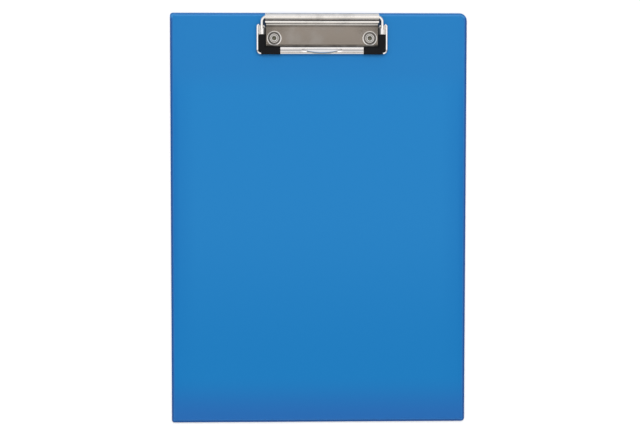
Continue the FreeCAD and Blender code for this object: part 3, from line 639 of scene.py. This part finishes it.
def facing(piece, wanted=lambda co: True):
    """Which way the faces look over most of their area."""
    return sum((face.normal * face.area for face in piece.data.polygons if wanted(face.center)),
               Vector())


def face_outwards(piece, outward=None):
    """Merges doubles and turns all faces one way. An open shell is told which way that is."""
    edit_all(piece)
    bpy.ops.mesh.remove_doubles(threshold=ALIKE * MM)
    bpy.ops.mesh.normals_make_consistent(inside=False)
    leave_editing()
    if outward and facing(piece).dot(Vector(outward)) < 0:
        edit_all(piece)
        bpy.ops.mesh.flip_normals()
        leave_editing()


def apply_modifier(piece, kind, **settings):
    """Adds a modifier with these settings and applies it."""
    take_up(piece)
    modifier = piece.modifiers.new(kind.lower(), kind)
    for name, value in settings.items():
        setattr(modifier, name, value)
    bpy.ops.object.modifier_apply(modifier=modifier.name)


def thicken(piece, thickness):
    """Gives a shell its sheet thickness, inwards from the side that is modelled."""
    apply_modifier(piece, "SOLIDIFY", thickness=thickness * MM, offset=-1.0, use_even_offset=True)


def soften(piece, width, segments=2, angle=50.0):
    """Breaks the sharp edges that a cut or a mould leaves."""
    apply_modifier(piece, "BEVEL", width=width * MM, segments=segments, limit_method="ANGLE",
                   angle_limit=math.radians(angle), harden_normals=False)
    edit_all(piece)
    bpy.ops.mesh.delete_loose()
    leave_editing()


def shade_piece(piece, weighted=False):
    """Shades the piece smoothly over its gentle edges. Large flat faces may count for more."""
    take_up(piece)
    bpy.ops.object.shade_smooth_by_angle(angle=math.radians(GENTLE))
    if weighted:
        apply_modifier(piece, "WEIGHTED_NORMAL", keep_sharp=True)


def mirrored_copy(piece, name):
    """The same piece on the other side of the clip."""
    copy = copy_piece(piece, name)
    edit_all(copy)
    bpy.ops.transform.resize(value=(-1.0, 1.0, 1.0), center_override=hinge)
    face_outwards(copy)
    return copy


def hand_over(piece, node, body):
    """The piece stands for a node: it rides on the same body and takes its finish."""
    slot = slots[node]
    give_finish(piece, finishes[slot])
    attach(piece, body)
    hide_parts(node)
    ends = [[round(pick(v.co[axis] for v in piece.data.vertices) / MM, 2) for axis in range(3)]
            for pick in (min, max)]
    print(piece.name, len(piece.data.polygons), "faces, from", ends[0], "to", ends[1], "mm")


print("helpers to shape and close are ready")

# %% [markdown]
# ## Film covers
#
# Each film is pressed over its half of the board and welded to the other all round, 1.6 mm wide.
# The welding bar leaves a thin flat strip, and where it tears the waste off, a small round bead
# along the outline. Seen from above we draw two outlines, because the strip and the raised face
# have corners of their own: each starts as a plane whose corners are rounded one by one, and grows
# rings inwards by inset. Bridging the two closes the strip. The back film has the same rings
# upside down, so it is a mirrored copy of the front one.

# %% Outline planes of the film
CORNERS = {(-1, -1): 2.0, (1, -1): 2.5, (1, 1): 5.8, (-1, 1): 2.0}
FOLD_GROW = 0.4
WELD_WIDTH = 1.6
FILM = 0.3
# How far in and how far up each ring goes
WELD_RINGS = [(0.10, 0.30), (0.18, 0.10), (0.24, -0.02), (0.20, -0.08), (0.66, 0.0)]
FOLD_RINGS = [(0.07, 0.16), (0.04, 0.50), (0.10, 0.30), (0.18, 0.16), (0.36, 0.07), (0.7, 0.01),
              (0.25, 0.0)]


def ringed_plane(name, inset, height, grow, rings):
    """A plane drawn in from the board's outline with rounded corners, and rings inset in it."""
    half = Vector((board_half.x - inset * MM, board_half.y - inset * MM, 1.0))
    middle = Vector((0.0, 0.0, height))
    plane = begin_shape(name, bpy.ops.mesh.primitive_plane_add, size=half, location=middle)
    round_corners(plane, middle, half, CORNERS, grow)
    choose(plane, "FACE", lambda co: True)
    for inwards, upwards in rings:
        bpy.ops.mesh.inset(thickness=inwards * MM, depth=upwards * MM)
    return plane


foot_height = weld_height + FILM * MM
strip = ringed_plane("film_strip", 0.0, weld_height, 0.0, WELD_RINGS)
bpy.ops.mesh.delete(type="ONLY_FACE")
film = join_pieces(strip, ringed_plane("film_raised", WELD_WIDTH, foot_height, FOLD_GROW, FOLD_RINGS))
print("film rings:", len(film.data.polygons), "faces")

# %% Weld the two outlines into one ring
def depth_inside(co, middle, half, corners):
    """How far a place lies inside a rectangle with rounded corners, seen from above."""
    x, y = co.x - middle.x, co.y - middle.y
    radius = corners[(1 if x > 0 else -1, 1 if y > 0 else -1)] * MM
    across, along = abs(x) - (half.x - radius), abs(y) - (half.y - radius)
    beyond = math.hypot(max(across, 0.0), max(along, 0.0))
    return radius - beyond - min(max(across, along), 0.0)


def distance_in(co):
    return depth_inside(co, Vector(), board_half, CORNERS)


strip_inner = sum(inwards for inwards, _ in WELD_RINGS) * MM
face_edge = (WELD_WIDTH + sum(inwards for inwards, _ in FOLD_RINGS)) * MM
take_up(film)
edges = choose(film, "EDGE", lambda co: abs(distance_in(co) - strip_inner) < 0.03 * MM
               or abs(co.z - foot_height) < 0.001 * MM and distance_in(co) > 1.5 * MM)
bpy.ops.mesh.bridge_edge_loops()
print("bridged", edges, "edges")

# %% Open the face at the rivets
ROUND = 48
RIVET_HOLE = 2.1
PATCH = 6.5


def on_circle(co, centre, radius, height):
    """Whether the middle of an edge lies on a circle in mm, at a height above its centre."""
    middle_radius = radius * math.cos(math.pi / ROUND)
    return (abs(math.hypot(co.x - centre.x, co.y - centre.y) / MM - middle_radius) < ALIKE
            and abs((co.z - centre.z) / MM - height) < ALIKE)


def open_circle(piece, centre, radius, height):
    """Takes out the flat face round a place and bridges its border to a circle.

    The circle comes as a filled disc, because Bridge reads from the faces beside both borders
    which way round they run. The disc is taken out afterwards.
    """
    near = ALIKE * MM
    level = centre.z + height * MM
    choose(piece, "FACE", lambda co: abs(co.x - centre.x) < 0.5 * MM
           and abs(co.y - centre.y) < 2.5 * MM and abs(co.z - level) < near)
    bpy.ops.object.mode_set(mode="OBJECT")
    corners = [piece.data.vertices[i].co for face in piece.data.polygons if face.select
               for i in face.vertices]
    sides = [(min(co[axis] for co in corners), max(co[axis] for co in corners))
             for axis in (0, 1)]
    bpy.ops.object.mode_set(mode="EDIT")
    bpy.ops.mesh.delete(type="ONLY_FACE")

    def on_border(co):
        beyond = [max(low - co[axis], co[axis] - high) for axis, (low, high) in enumerate(sides)]
        return abs(max(beyond)) < near and abs(co.z - level) < near

    choose(piece, "EDGE", on_border)
    bpy.ops.mesh.subdivide(number_cuts=ROUND // 4 - 1)
    bpy.ops.mesh.primitive_circle_add(vertices=ROUND, radius=radius * MM, fill_type="NGON",
                                      location=(centre.x, centre.y, level))
    choose(piece, "EDGE", lambda co: on_border(co) or on_circle(co, centre, radius, height))
    bpy.ops.mesh.bridge_edge_loops()
    choose(piece, "FACE", lambda co: abs(co.z - level) < near
           and math.hypot(co.x - centre.x, co.y - centre.y) < 0.5 * MM)
    bpy.ops.mesh.delete(type="ONLY_FACE")


def push_ring(piece, centre, profile):
    """Takes the circle of edges at a profile's first radius and height through all the others."""
    radius, height = profile[0]
    choose(piece, "EDGE", lambda co: on_circle(co, centre, radius, height))
    for new_radius, new_height in profile[1:]:
        extrude(up=new_height - height)
        grown = new_radius / radius
        bpy.ops.transform.resize(value=(grown, grown, 1.0),
                                 center_override=(centre.x, centre.y, 0.0))
        radius, height = new_radius, new_height


def on_face(co):
    return abs(co.z - face_height) < 0.001 * MM and distance_in(co) > face_edge + 0.05 * MM


for rivet in rivets:
    for shift in (-PATCH * MM, PATCH * MM):
        cut_across(film, (rivet.x + shift, 0.0, 0.0), (1.0, 0.0, 0.0), on_face)
for shift in (-PATCH * MM, PATCH * MM):
    cut_across(film, (0.0, rivets[0].y + shift, 0.0), (0.0, 1.0, 0.0), on_face)
back_film = copy_piece(film, "back_film")
print("film cut round the rivets:", len(film.data.polygons), "faces")

# %% Front film and its mirrored twin
# Radius and height of the seat that the rivet's head presses into the back film
HEAD_SEAT = [(4.78, 0.0), (4.66, 0.05), (4.61, 0.19), (4.60, 0.69), (4.48, 0.80), (RIVET_HOLE, 0.80)]


def finish_film(piece, outward):
    """Closes a film: faces outwards, thickness, a flat weld, and its distance from the outline."""
    face_outwards(piece, (0.0, 0.0, outward))
    thicken(piece, FILM)
    choose(piece, "VERT", lambda co: (co.z - weld_height) * outward < 0.0)
    bpy.ops.transform.resize(value=(1.0, 1.0, 0.0), center_override=(0.0, 0.0, weld_height))
    shade_piece(piece)
    number = piece.data.attributes.new("from_edge", "FLOAT", "POINT")
    number.data.foreach_set("value", [distance_in(v.co) for v in piece.data.vertices])


film.name = film.data.name = "front_film"
take_up(film)
for rivet in rivets:
    open_circle(film, rivet, RIVET_HOLE, face_height / MM)
finish_film(film, 1)
hand_over(film, "front_cover", "board")

edit_all(back_film)
bpy.ops.transform.resize(value=(1.0, 1.0, -1.0), center_override=(0.0, 0.0, weld_height))
for rivet in rivets:
    open_circle(back_film, rivet, *HEAD_SEAT[0])
    push_ring(back_film, rivet, HEAD_SEAT)
finish_film(back_film, -1)
hand_over(back_film, "back_cover", "board")

# %% [markdown]
# ## Base plate
#
# The plate is one strip of sheet: rolled into the barrel at the back, pressed up into a ridge,
# stepped down to a flat field, and folded down to the board in front. We draw only the flat field
# as a plane, and let Spin carry its edges round each bend, so every bend is a true arc. The two
# cups for the rivets are drawn out of the same sheet: a circle opened in the field is taken down
# ring by ring. Solidify then gives the shell its 0.8 mm.

# %% Places on the clip
SHEET = 0.8
BARREL = 2.5
HALF_FIELD = 43.2
HALF_BARREL = 44.0
FIELD_HEIGHT = 2.0


def at(across, reach, height):
    """A place on the clip in mm: from its middle, forward of the hinge, and above the face."""
    return Vector((hinge.x + across * MM, hinge.y - reach * MM, face_height + height * MM))


def across_of(co):
    return (co.x - hinge.x) / MM


def reach_of(co):
    return (hinge.y - co.y) / MM


def height_of(co):
    return (co.z - face_height) / MM


def draw_plane(name, across, reach, height):
    """A plane between two places across the clip and two forward of the hinge."""
    half_size = [(high - low) / 2 * MM for low, high in (across, reach)]
    return begin_shape(name, bpy.ops.mesh.primitive_plane_add, size=(*half_size, 1.0),
                       location=at(sum(across) / 2, sum(reach) / 2, height))


def cut_lines(piece, across=(), reach=()):
    """Cuts a flat piece along lines at these places."""
    for place in across:
        cut_across(piece, at(place, 0.0, 0.0), (1.0, 0.0, 0.0))
    for place in reach:
        cut_across(piece, at(0.0, place, 0.0), (0.0, 1.0, 0.0))


def spin_up(centre, degrees, steps):
    """Carries the chosen edges round an axis across the clip; positive lifts what is in front."""
    spin(degrees, steps, at(0.0, *centre), (1.0, 0.0, 0.0))


def heading(start, end):
    """The direction between two places of the side view, in degrees."""
    return math.degrees(math.atan2(end[1] - start[1], end[0] - start[0]))


print("barrel height in mm:", round(height_of(hinge), 2))

# %% Field, step, ridge and barrel
RIDGE, RIDGE_RADIUS = (3.95, 2.7), 1.3
STEP_RADIUS = 1.1
VALLEY_RADIUS = 0.15
CURL_END = 310.0
PLATE_FRONT = 22.85
FRONT_RADIUS = 0.7
PATCH_SIDE, PATCH_BACK = 31.0, 6.1

barrel = (0.0, BARREL)
step_rise = FIELD_HEIGHT + STEP_RADIUS - RIDGE[1]
step = (RIDGE[0] + math.sqrt((RIDGE_RADIUS + STEP_RADIUS) ** 2 - step_rise ** 2),
        FIELD_HEIGHT + STEP_RADIUS)
to_barrel, to_ridge = BARREL + VALLEY_RADIUS, RIDGE_RADIUS + VALLEY_RADIUS
gap = math.dist(barrel, RIDGE)
along = (gap ** 2 + to_barrel ** 2 - to_ridge ** 2) / (2 * gap)
aside = math.sqrt(to_barrel ** 2 - along ** 2)
lean = ((RIDGE[0] - barrel[0]) / gap, (RIDGE[1] - barrel[1]) / gap)
valley = (barrel[0] + along * lean[0] - aside * lean[1],
          barrel[1] + along * lean[1] + aside * lean[0])
field_end = PLATE_FRONT - FRONT_RADIUS

plate = draw_plane("base_plate", (-HALF_FIELD, HALF_FIELD), (step[0], field_end), FIELD_HEIGHT)
cut_lines(plate, across=(-PATCH_SIDE, PATCH_SIDE), reach=(reach_of(rivets[0]) - PATCH_BACK,))
choose(plate, "EDGE", lambda co: abs(reach_of(co) - step[0]) < 0.01)
spin_up(step, heading(step, RIDGE) + 90.0 - 360.0 * (heading(step, RIDGE) > 0.0), 8)
spin_up(RIDGE, heading(RIDGE, valley) - heading(RIDGE, step), 18)
spin_up(valley, heading(valley, barrel) - heading(valley, RIDGE), 8)
spin_up(barrel, CURL_END - heading(barrel, valley), 44)
choose(plate, "EDGE", lambda co: abs(reach_of(co) - field_end) < 0.01)
spin_up((field_end, FIELD_HEIGHT - FRONT_RADIUS), -90.0, 6)
extrude(up=FRONT_RADIUS - FIELD_HEIGHT)
print("valley at reach and height", [round(c, 2) for c in valley], "step at", round(step[0], 2))

# %% Shoulders
SHOULDER_START, SHOULDER_END = 4.15, 4.95


def widen(wanted, share):
    """Widens the chosen rows of the plate towards the barrel's width by a share."""
    choose(plate, "VERT", wanted)
    grown = 1.0 + (HALF_BARREL / HALF_FIELD - 1.0) * share
    bpy.ops.transform.resize(value=(grown, 1.0, 1.0), center_override=hinge)


bpy.ops.object.mode_set(mode="OBJECT")
rows = sorted({round(reach_of(v.co), 3) for v in plate.data.vertices})
slanting = [reach for reach in rows if SHOULDER_START < reach < SHOULDER_END]
widen(lambda co: reach_of(co) <= SHOULDER_START, 1.0)
for reach in slanting:
    share = (SHOULDER_END - reach) / (SHOULDER_END - SHOULDER_START)
    widen(lambda co: abs(reach_of(co) - reach) < ALIKE, share)
print("rows on the shoulder:", slanting)

# %% Cups
# Radius and height of each ring, from the field down to the rivet's hole
CUP = [(5.55, FIELD_HEIGHT), (5.42, 1.985), (5.25, 1.94), (5.05, 1.87), (4.88, 1.77),
       (4.76, 1.62), (4.70, 1.40), (4.67, 1.15), (4.64, 0.98), (4.58, 0.87), (4.42, SHEET),
       (RIVET_HOLE, SHEET)]

for rivet in rivets:
    centre = Vector((rivet.x, rivet.y, face_height))
    open_circle(plate, centre, *CUP[0])
    push_ring(plate, centre, CUP)
face_outwards(plate, (0.0, 0.0, 1.0))
thicken(plate, SHEET)
soften(plate, 0.10)
shade_piece(plate, weighted=True)
hand_over(plate, "clip_base_plate", "board")
give_finish(plate, nickel_plate)

# %% [markdown]
# ## Rivets
#
# A tubular rivet goes through cup, films and board. Its flat head lies sunk in the back, and the
# tube's end is rolled outwards over the cup's floor. It is turned work, so it is one circle taken
# ring by ring from the bottom of its bore, over the rolled crown, down the shank and across the
# head. One is modelled and the other is a copy, moved along the clip.

# %% Rivet, turned ring by ring
# Radius of each ring and its height above the board's back
RIVET = [(1.35, 1.4), (1.35, 3.5), (1.38, 3.85), (1.46, 4.15), (1.58, 4.42), (1.74, 4.62),
         (1.94, 4.74), (2.16, 4.79), (2.50, 4.80), (3.15, 4.80), (3.33, 4.77), (3.49, 4.68),
         (3.61, 4.53), (3.68, 4.32), (3.70, 4.08), (3.70, 3.87), (3.62, 3.80), (2.00, 3.80),
         (2.00, 0.80), (4.42, 0.80), (4.50, 0.72), (4.50, 0.12), (4.42, 0.03), (4.28, 0.0)]

rivet_left = begin_shape("tubular_rivet_left", bpy.ops.mesh.primitive_circle_add, vertices=ROUND,
                         radius=RIVET[0][0] * MM, fill_type="NGON",
                         location=(rivets[0].x, rivets[0].y, RIVET[0][1] * MM))
push_ring(rivet_left, rivets[0], RIVET)
bpy.ops.mesh.edge_face_add()
face_outwards(rivet_left)
shade_piece(rivet_left)
rivet_right = copy_piece(rivet_left, "tubular_rivet_right")
edit_all(rivet_right)
bpy.ops.transform.translate(value=rivets[1] - rivets[0])
leave_editing()
hand_over(rivet_left, "rivet_left", "board")
hand_over(rivet_right, "rivet_right", "board")

# %% [markdown]
# ## Spring wire
#
# The spring is one length of round wire. It lies in the barrel, bends forward beyond its ends and
# runs on along the frame's arms. A circle is extruded along each straight and spun round each bend,
# which is how the wire itself is bent over a pin.

# %% Wire
WIRE = 1.15
WIRE_ACROSS = 46.6
WIRE_BEND = 3.8
WIRE_END = 13.3
# Both tips are rounded over this length, with one ring close to the end.
TIP, TIP_RING = 0.2, 0.06

bend_across = WIRE_ACROSS - WIRE_BEND
straight = WIRE_END - WIRE_BEND - TIP


def grow_tip(end, forward, wider):
    """Extrudes the wire along the board by a step in mm, and scales it as its tip is rounded."""
    extrude(along=forward)
    bpy.ops.transform.resize(value=(wider, wider, wider),
                             center_override=end + Vector((0.0, forward * MM, 0.0)))


def bend_wire(side):
    spin(90.0, 16, at(side * bend_across, WIRE_BEND, BARREL), (0.0, 0.0, 1.0))


end = at(-WIRE_ACROSS, WIRE_END, BARREL)
wire = begin_shape("bent_wire", bpy.ops.mesh.primitive_circle_add, vertices=24,
                   radius=(WIRE - TIP) * MM, fill_type="NGON",
                   rotation=(math.radians(90.0), 0.0, 0.0), location=end)
choose(wire, "EDGE", lambda co: True)
grow_tip(end, TIP_RING, (WIRE - TIP_RING) / (WIRE - TIP))
grow_tip(end + Vector((0.0, TIP_RING * MM, 0.0)), TIP - TIP_RING, WIRE / (WIRE - TIP_RING))
extrude(along=straight)
bend_wire(-1)
extrude(across=2 * bend_across)
bend_wire(1)
extrude(along=-straight)
end = at(WIRE_ACROSS, WIRE_END - TIP, BARREL)
grow_tip(end, TIP_RING - TIP, (WIRE - TIP_RING) / WIRE)
grow_tip(end, -TIP_RING, (WIRE - TIP) / (WIRE - TIP_RING))
bpy.ops.mesh.edge_face_add()
face_outwards(wire)
shade_piece(wire)
hand_over(wire, "spring_wire", "clamp")

# %% [markdown]
# ## Clamp frame
#
# The frame is pressed from one sheet: two arms with a hemmed rim, a flap on each arm that is
# crimped over the wire, and a bar folded back over itself between the corners, with a lip in its
# middle for a fingertip. The rims of both arms are the ends of one rounded rectangle, so they are
# drawn together. The floor, the flaps and the bar follow as their own runs of sheet.

# %% Hemmed rims
FRAME_OUTER = 50.75
ARM_START = 5.35
FRAME_REACH = 28.9
FLOOR_TOP = 1.35
RIM_TOP = 3.3
HEM = 1.6
FRONT_CORNER, BACK_CORNER = 3.5, 2.0
RIM_CORNERS = {(-1, -1): FRONT_CORNER, (1, -1): FRONT_CORNER, (1, 1): BACK_CORNER,
               (-1, 1): BACK_CORNER}
TOP_ROUND, FOOT_ROUND = 0.76, 0.95

frame_middle = at(0.0, (ARM_START + FRAME_REACH) / 2, FLOOR_TOP - SHEET)
frame_half = Vector((FRAME_OUTER * MM, (FRAME_REACH - ARM_START) / 2 * MM, 1.0))


def rim_depth(co):
    return depth_inside(co, frame_middle, frame_half, RIM_CORNERS) / MM


rims = draw_plane("pressed_frame", (-FRAME_OUTER, FRAME_OUTER), (ARM_START, FRAME_REACH),
                  FLOOR_TOP - SHEET)
round_corners(rims, frame_middle, frame_half, RIM_CORNERS)
choose(rims, "FACE", lambda co: True)
bpy.ops.mesh.delete(type="ONLY_FACE")
choose(rims, "EDGE", lambda co: abs(across_of(co)) < HALF_BARREL)
bpy.ops.mesh.delete(type="EDGE")
bpy.ops.mesh.select_all(action="SELECT")
extrude(up=RIM_TOP - FLOOR_TOP + SHEET)

# Each rim is an open band, so its faces are turned by their side of the clip.
edit_all(rims)
bpy.ops.mesh.normals_make_consistent(inside=False)
for side in (-1, 1):
    bpy.ops.object.mode_set(mode="OBJECT")
    if facing(rims, lambda co: across_of(co) * side > 0.0).x * side < 0.0:
        choose(rims, "FACE", lambda co: across_of(co) * side > 0.0)
        bpy.ops.mesh.flip_normals()
thicken(rims, HEM)
top_edges = choose(rims, "EDGE", lambda co: height_of(co) > RIM_TOP - 0.01
                   and min(abs(rim_depth(co)), abs(rim_depth(co) - HEM)) < 0.1)
bpy.ops.mesh.bevel(offset=TOP_ROUND * MM, segments=6, affect="EDGES")
choose(rims, "EDGE", lambda co: height_of(co) < FLOOR_TOP - SHEET + 0.01 and rim_depth(co) < 0.1)
bpy.ops.mesh.bevel(offset=FOOT_ROUND * MM, segments=5, affect="EDGES")
leave_editing()
print("rims:", len(rims.data.polygons), "faces, top edges", top_edges)

# %% Floors with their flaps
ARM_INNER = 43.6
FLAP_BEND = 0.2
WRAP = WIRE + 0.05
WRAP_END = 60.0
BAR_BACK = 23.05
HALF_BAR = 32.2
# The floor ends inside the hem, and overlaps the bar's end by one millimetre.
HEM_INSET, HEM_CORNER, OVERLAP = 0.9, 2.6, 1.0
FLOOR_START = ARM_START + 1.0
SLANT_RUN = 5.6

floor_front, floor_outer = FRAME_REACH - HEM_INSET, FRAME_OUTER - HEM_INSET
bend_place = (ARM_INNER + SHEET + FLAP_BEND, FLOOR_TOP + FLAP_BEND)
wire_place = (WIRE_ACROSS, BARREL)
arm_floor = draw_plane("arm_floor", (HALF_BAR - OVERLAP, floor_outer), (FLOOR_START, floor_front),
                       FLOOR_TOP)
cut_lines(arm_floor, across=(bend_place[0],), reach=(WIRE_END, BAR_BACK + SHEET))
choose(arm_floor, "FACE", lambda co: across_of(co) < bend_place[0] and reach_of(co) < BAR_BACK)
bpy.ops.mesh.delete(type="FACE")
round_corner(arm_floor, at(floor_outer, floor_front, FLOOR_TOP), HEM_CORNER, 8)

spread = math.dist(bend_place, wire_place)
tangent = heading(bend_place, wire_place) + math.degrees(math.asin((WRAP - FLAP_BEND) / spread))
run, slope = math.sqrt(spread ** 2 - (WRAP - FLAP_BEND) ** 2), math.radians(tangent)
choose(arm_floor, "EDGE", lambda co: abs(across_of(co) - bend_place[0]) < 0.01
       and reach_of(co) < WIRE_END)
spin(180.0 - tangent, 8, at(bend_place[0], 0.0, bend_place[1]), (0.0, -1.0, 0.0))
extrude(across=run * math.cos(slope), up=run * math.sin(slope))
spin(tangent + 90.0 - WRAP_END, 10, at(wire_place[0], 0.0, wire_place[1]), (0.0, -1.0, 0.0))
choose(arm_floor, "FACE", lambda co: height_of(co) > FLOOR_TOP + 0.02)
bpy.ops.mesh.bisect(plane_co=at(ARM_INNER, FLOOR_START, 0.0), clear_outer=True,
                    plane_no=(SLANT_RUN, WIRE_ACROSS + WRAP + SHEET - ARM_INNER, 0.0))
face_outwards(arm_floor, (0.0, 0.0, 1.0))
thicken(arm_floor, SHEET)
soften(arm_floor, 0.08)
print("flap tangent", round(tangent, 1), "degrees, line", round(run, 2), "mm,",
      len(arm_floor.data.polygons), "faces")

# %% Folded bar
BEAD = 1.15
BEAD_RISE = 1.4
CREASE_SETBACK = 1.95
CREST = FLOOR_TOP + 1.6
FOOT_BEND = 1.0
FRONT_WALL = 0.1

foot = (FRAME_REACH - FOOT_BEND, FLOOR_TOP - SHEET + FOOT_BEND)
bead = (BAR_BACK + BEAD, FLOOR_TOP + BEAD_RISE - BEAD)
past_bead = CREASE_SETBACK - BEAD
crease = (BAR_BACK + CREASE_SETBACK, bead[1] + math.sqrt(BEAD ** 2 - past_bead ** 2))
front_bend = CREST - foot[1] - FRONT_WALL
crest_reach = FRAME_REACH - front_bend
strip_run, strip_drop = crest_reach - crease[0], CREST - crease[1]
strip_radius = (strip_run ** 2 + strip_drop ** 2) / (2 * strip_drop)

bar = draw_plane("folded_bar", (-HALF_BAR, HALF_BAR), (BAR_BACK, foot[0]), FLOOR_TOP - SHEET)
choose(bar, "EDGE", lambda co: abs(reach_of(co) - foot[0]) < 0.01)
spin_up(foot, 90.0, 8)
extrude(up=FRONT_WALL)
spin_up((crest_reach, CREST - front_bend), 90.0, 10)
spin_up((crest_reach, CREST - strip_radius), math.degrees(math.asin(strip_run / strip_radius)), 8)
spin_up(bead, 180.0 - heading(bead, crease), 14)
face_outwards(bar, (0.0, -1.0, 0.0))
thicken(bar, SHEET)
soften(bar, 0.05)
print("bar:", len(bar.data.polygons), "faces, strip radius", round(strip_radius, 1))

# %% Finger lift
LIFT_HALF = 15.5
BACK_BOW, FRONT_BOW = 0.7, 2.2
LIFT_RISE = 1.8
HAIR = 0.02

slope = (CREST + LIFT_RISE - bead[1] - BEAD) / (crease[0] + FRONT_BOW - bead[0])
ramp = math.atan(slope)


def lip_place(share):
    """The lip's ends, a hair apart, drawn flat before it is tipped up."""
    return at(-LIFT_HALF, bead[0] + (crease[0] - bead[0]) / math.cos(ramp) + HAIR * share, 0.0)


def arc_to_other_end(bow):
    """Spins the chosen corner along an arc that bows out by this much, to the lip's other end."""
    bow /= math.cos(ramp)
    radius = (LIFT_HALF ** 2 / abs(bow) + abs(bow)) / 2
    turn = 2 * math.degrees(math.asin(LIFT_HALF / radius))
    centre = lip_place(0.0) + Vector((LIFT_HALF, 0.0, 0.0)) * MM
    centre.y += math.copysign(math.sqrt(radius ** 2 - LIFT_HALF ** 2) * MM, bow)
    spin(math.copysign(turn, -bow), 30, centre, (0.0, 0.0, 1.0))


lip = begin_shape("finger_lip", bpy.ops.mesh.primitive_plane_add,
                  size=(LIFT_HALF * MM, HAIR * MM, 1.0),
                  location=lip_place(0.0) + Vector((LIFT_HALF * MM, 0.0, 0.0)))
choose(lip, "VERT", lambda co: co.x > hinge.x)
bpy.ops.mesh.delete(type="VERT")
choose(lip, "EDGE", lambda co: True)
bpy.ops.mesh.delete(type="EDGE_FACE")
for share, bow in ((1.0, FRONT_BOW), (-1.0, -BACK_BOW)):
    choose(lip, "VERT", lambda co: (co - lip_place(share)).length < 0.005 * MM)
    arc_to_other_end(bow)
bpy.ops.mesh.select_mode(type="EDGE")
bpy.ops.mesh.select_all(action="SELECT")
bpy.ops.mesh.bridge_edge_loops(number_cuts=3, interpolation="LINEAR")
bpy.ops.mesh.select_all(action="SELECT")
bpy.ops.transform.rotate(value=ramp, orient_axis="X", orient_type="GLOBAL",
                         center_override=at(0.0, bead[0], 0.0))
bpy.ops.transform.translate(value=(0.0, 0.0, (bead[1] + BEAD) * MM))
face_outwards(lip, (0.0, 0.0, 1.0))
thicken(lip, SHEET)
soften(lip, 0.12)
heights = [height_of(v.co) for v in lip.data.vertices]
print("lip:", len(lip.data.polygons), "faces, slope", round(slope, 2), "height from",
      round(min(heights), 2), "to", round(max(heights), 2))

# %% Joining the frame
other_arm = mirrored_copy(arm_floor, "arm_floor_left")
pressed_frame = join_pieces(rims, arm_floor, other_arm, bar, lip)
shade_piece(pressed_frame, weighted=True)
hand_over(pressed_frame, "clamp_frame", "clamp")

# %% [markdown]
# ## Corner caps
#
# The two caps grip the paper. Each is a moulded angle pushed over the frame's corner, with a toe
# along the bar. Its plan is cut from a plane, made solid, and the field inside a narrow ledge is
# raised once more, so the cap has a low step along its inner sides.

# %% Caps
CAP_FIT = 0.1
CAP_TOP = FLOOR_TOP + 1.85
CAP_STEP = 0.8
CAP_CORNER = 1.7
JAW_GAP = 0.05

cap_inner, cap_outer = HALF_BAR + CAP_FIT, FRAME_OUTER - HEM - CAP_FIT
rim_end = FRAME_OUTER - FRONT_CORNER - CAP_FIT
turn_end = FRAME_REACH - FRONT_CORNER + CAP_CORNER + CAP_FIT
ledge_top = CAP_TOP - CAP_STEP
ledge_inner, ledge_back = ARM_INNER + CAP_STEP, BAR_BACK + CAP_STEP

cap = draw_plane("moulded_cap_right", (cap_inner, cap_outer), (WIRE_END + CAP_FIT, FRAME_REACH),
                 ledge_top)
cut_lines(cap, across=(ARM_INNER, ledge_inner, rim_end), reach=(BAR_BACK, ledge_back, turn_end))
choose(cap, "FACE", lambda co: (across_of(co) < ARM_INNER and reach_of(co) < BAR_BACK)
       or (across_of(co) > rim_end and reach_of(co) > turn_end))
bpy.ops.mesh.delete(type="FACE")
round_corner(cap, at(cap_outer, turn_end, ledge_top), CAP_CORNER, 8)
face_outwards(cap, (0.0, 0.0, 1.0))
thicken(cap, ledge_top - JAW_GAP)
raised = choose(cap, "FACE", lambda co: height_of(co) > ledge_top - 0.01
                and across_of(co) > cap_inner
                and not (across_of(co) < ledge_inner and reach_of(co) < ledge_back))
extrude(up=CAP_STEP)
face_outwards(cap)
soften(cap, 0.3, segments=4)
shade_piece(cap)
cap_left = mirrored_copy(cap, "moulded_cap_left")
shade_piece(cap_left)
hand_over(cap, "corner_cap_right", "clamp")
hand_over(cap_left, "corner_cap_left", "clamp")
print("raised faces of a cap:", raised)
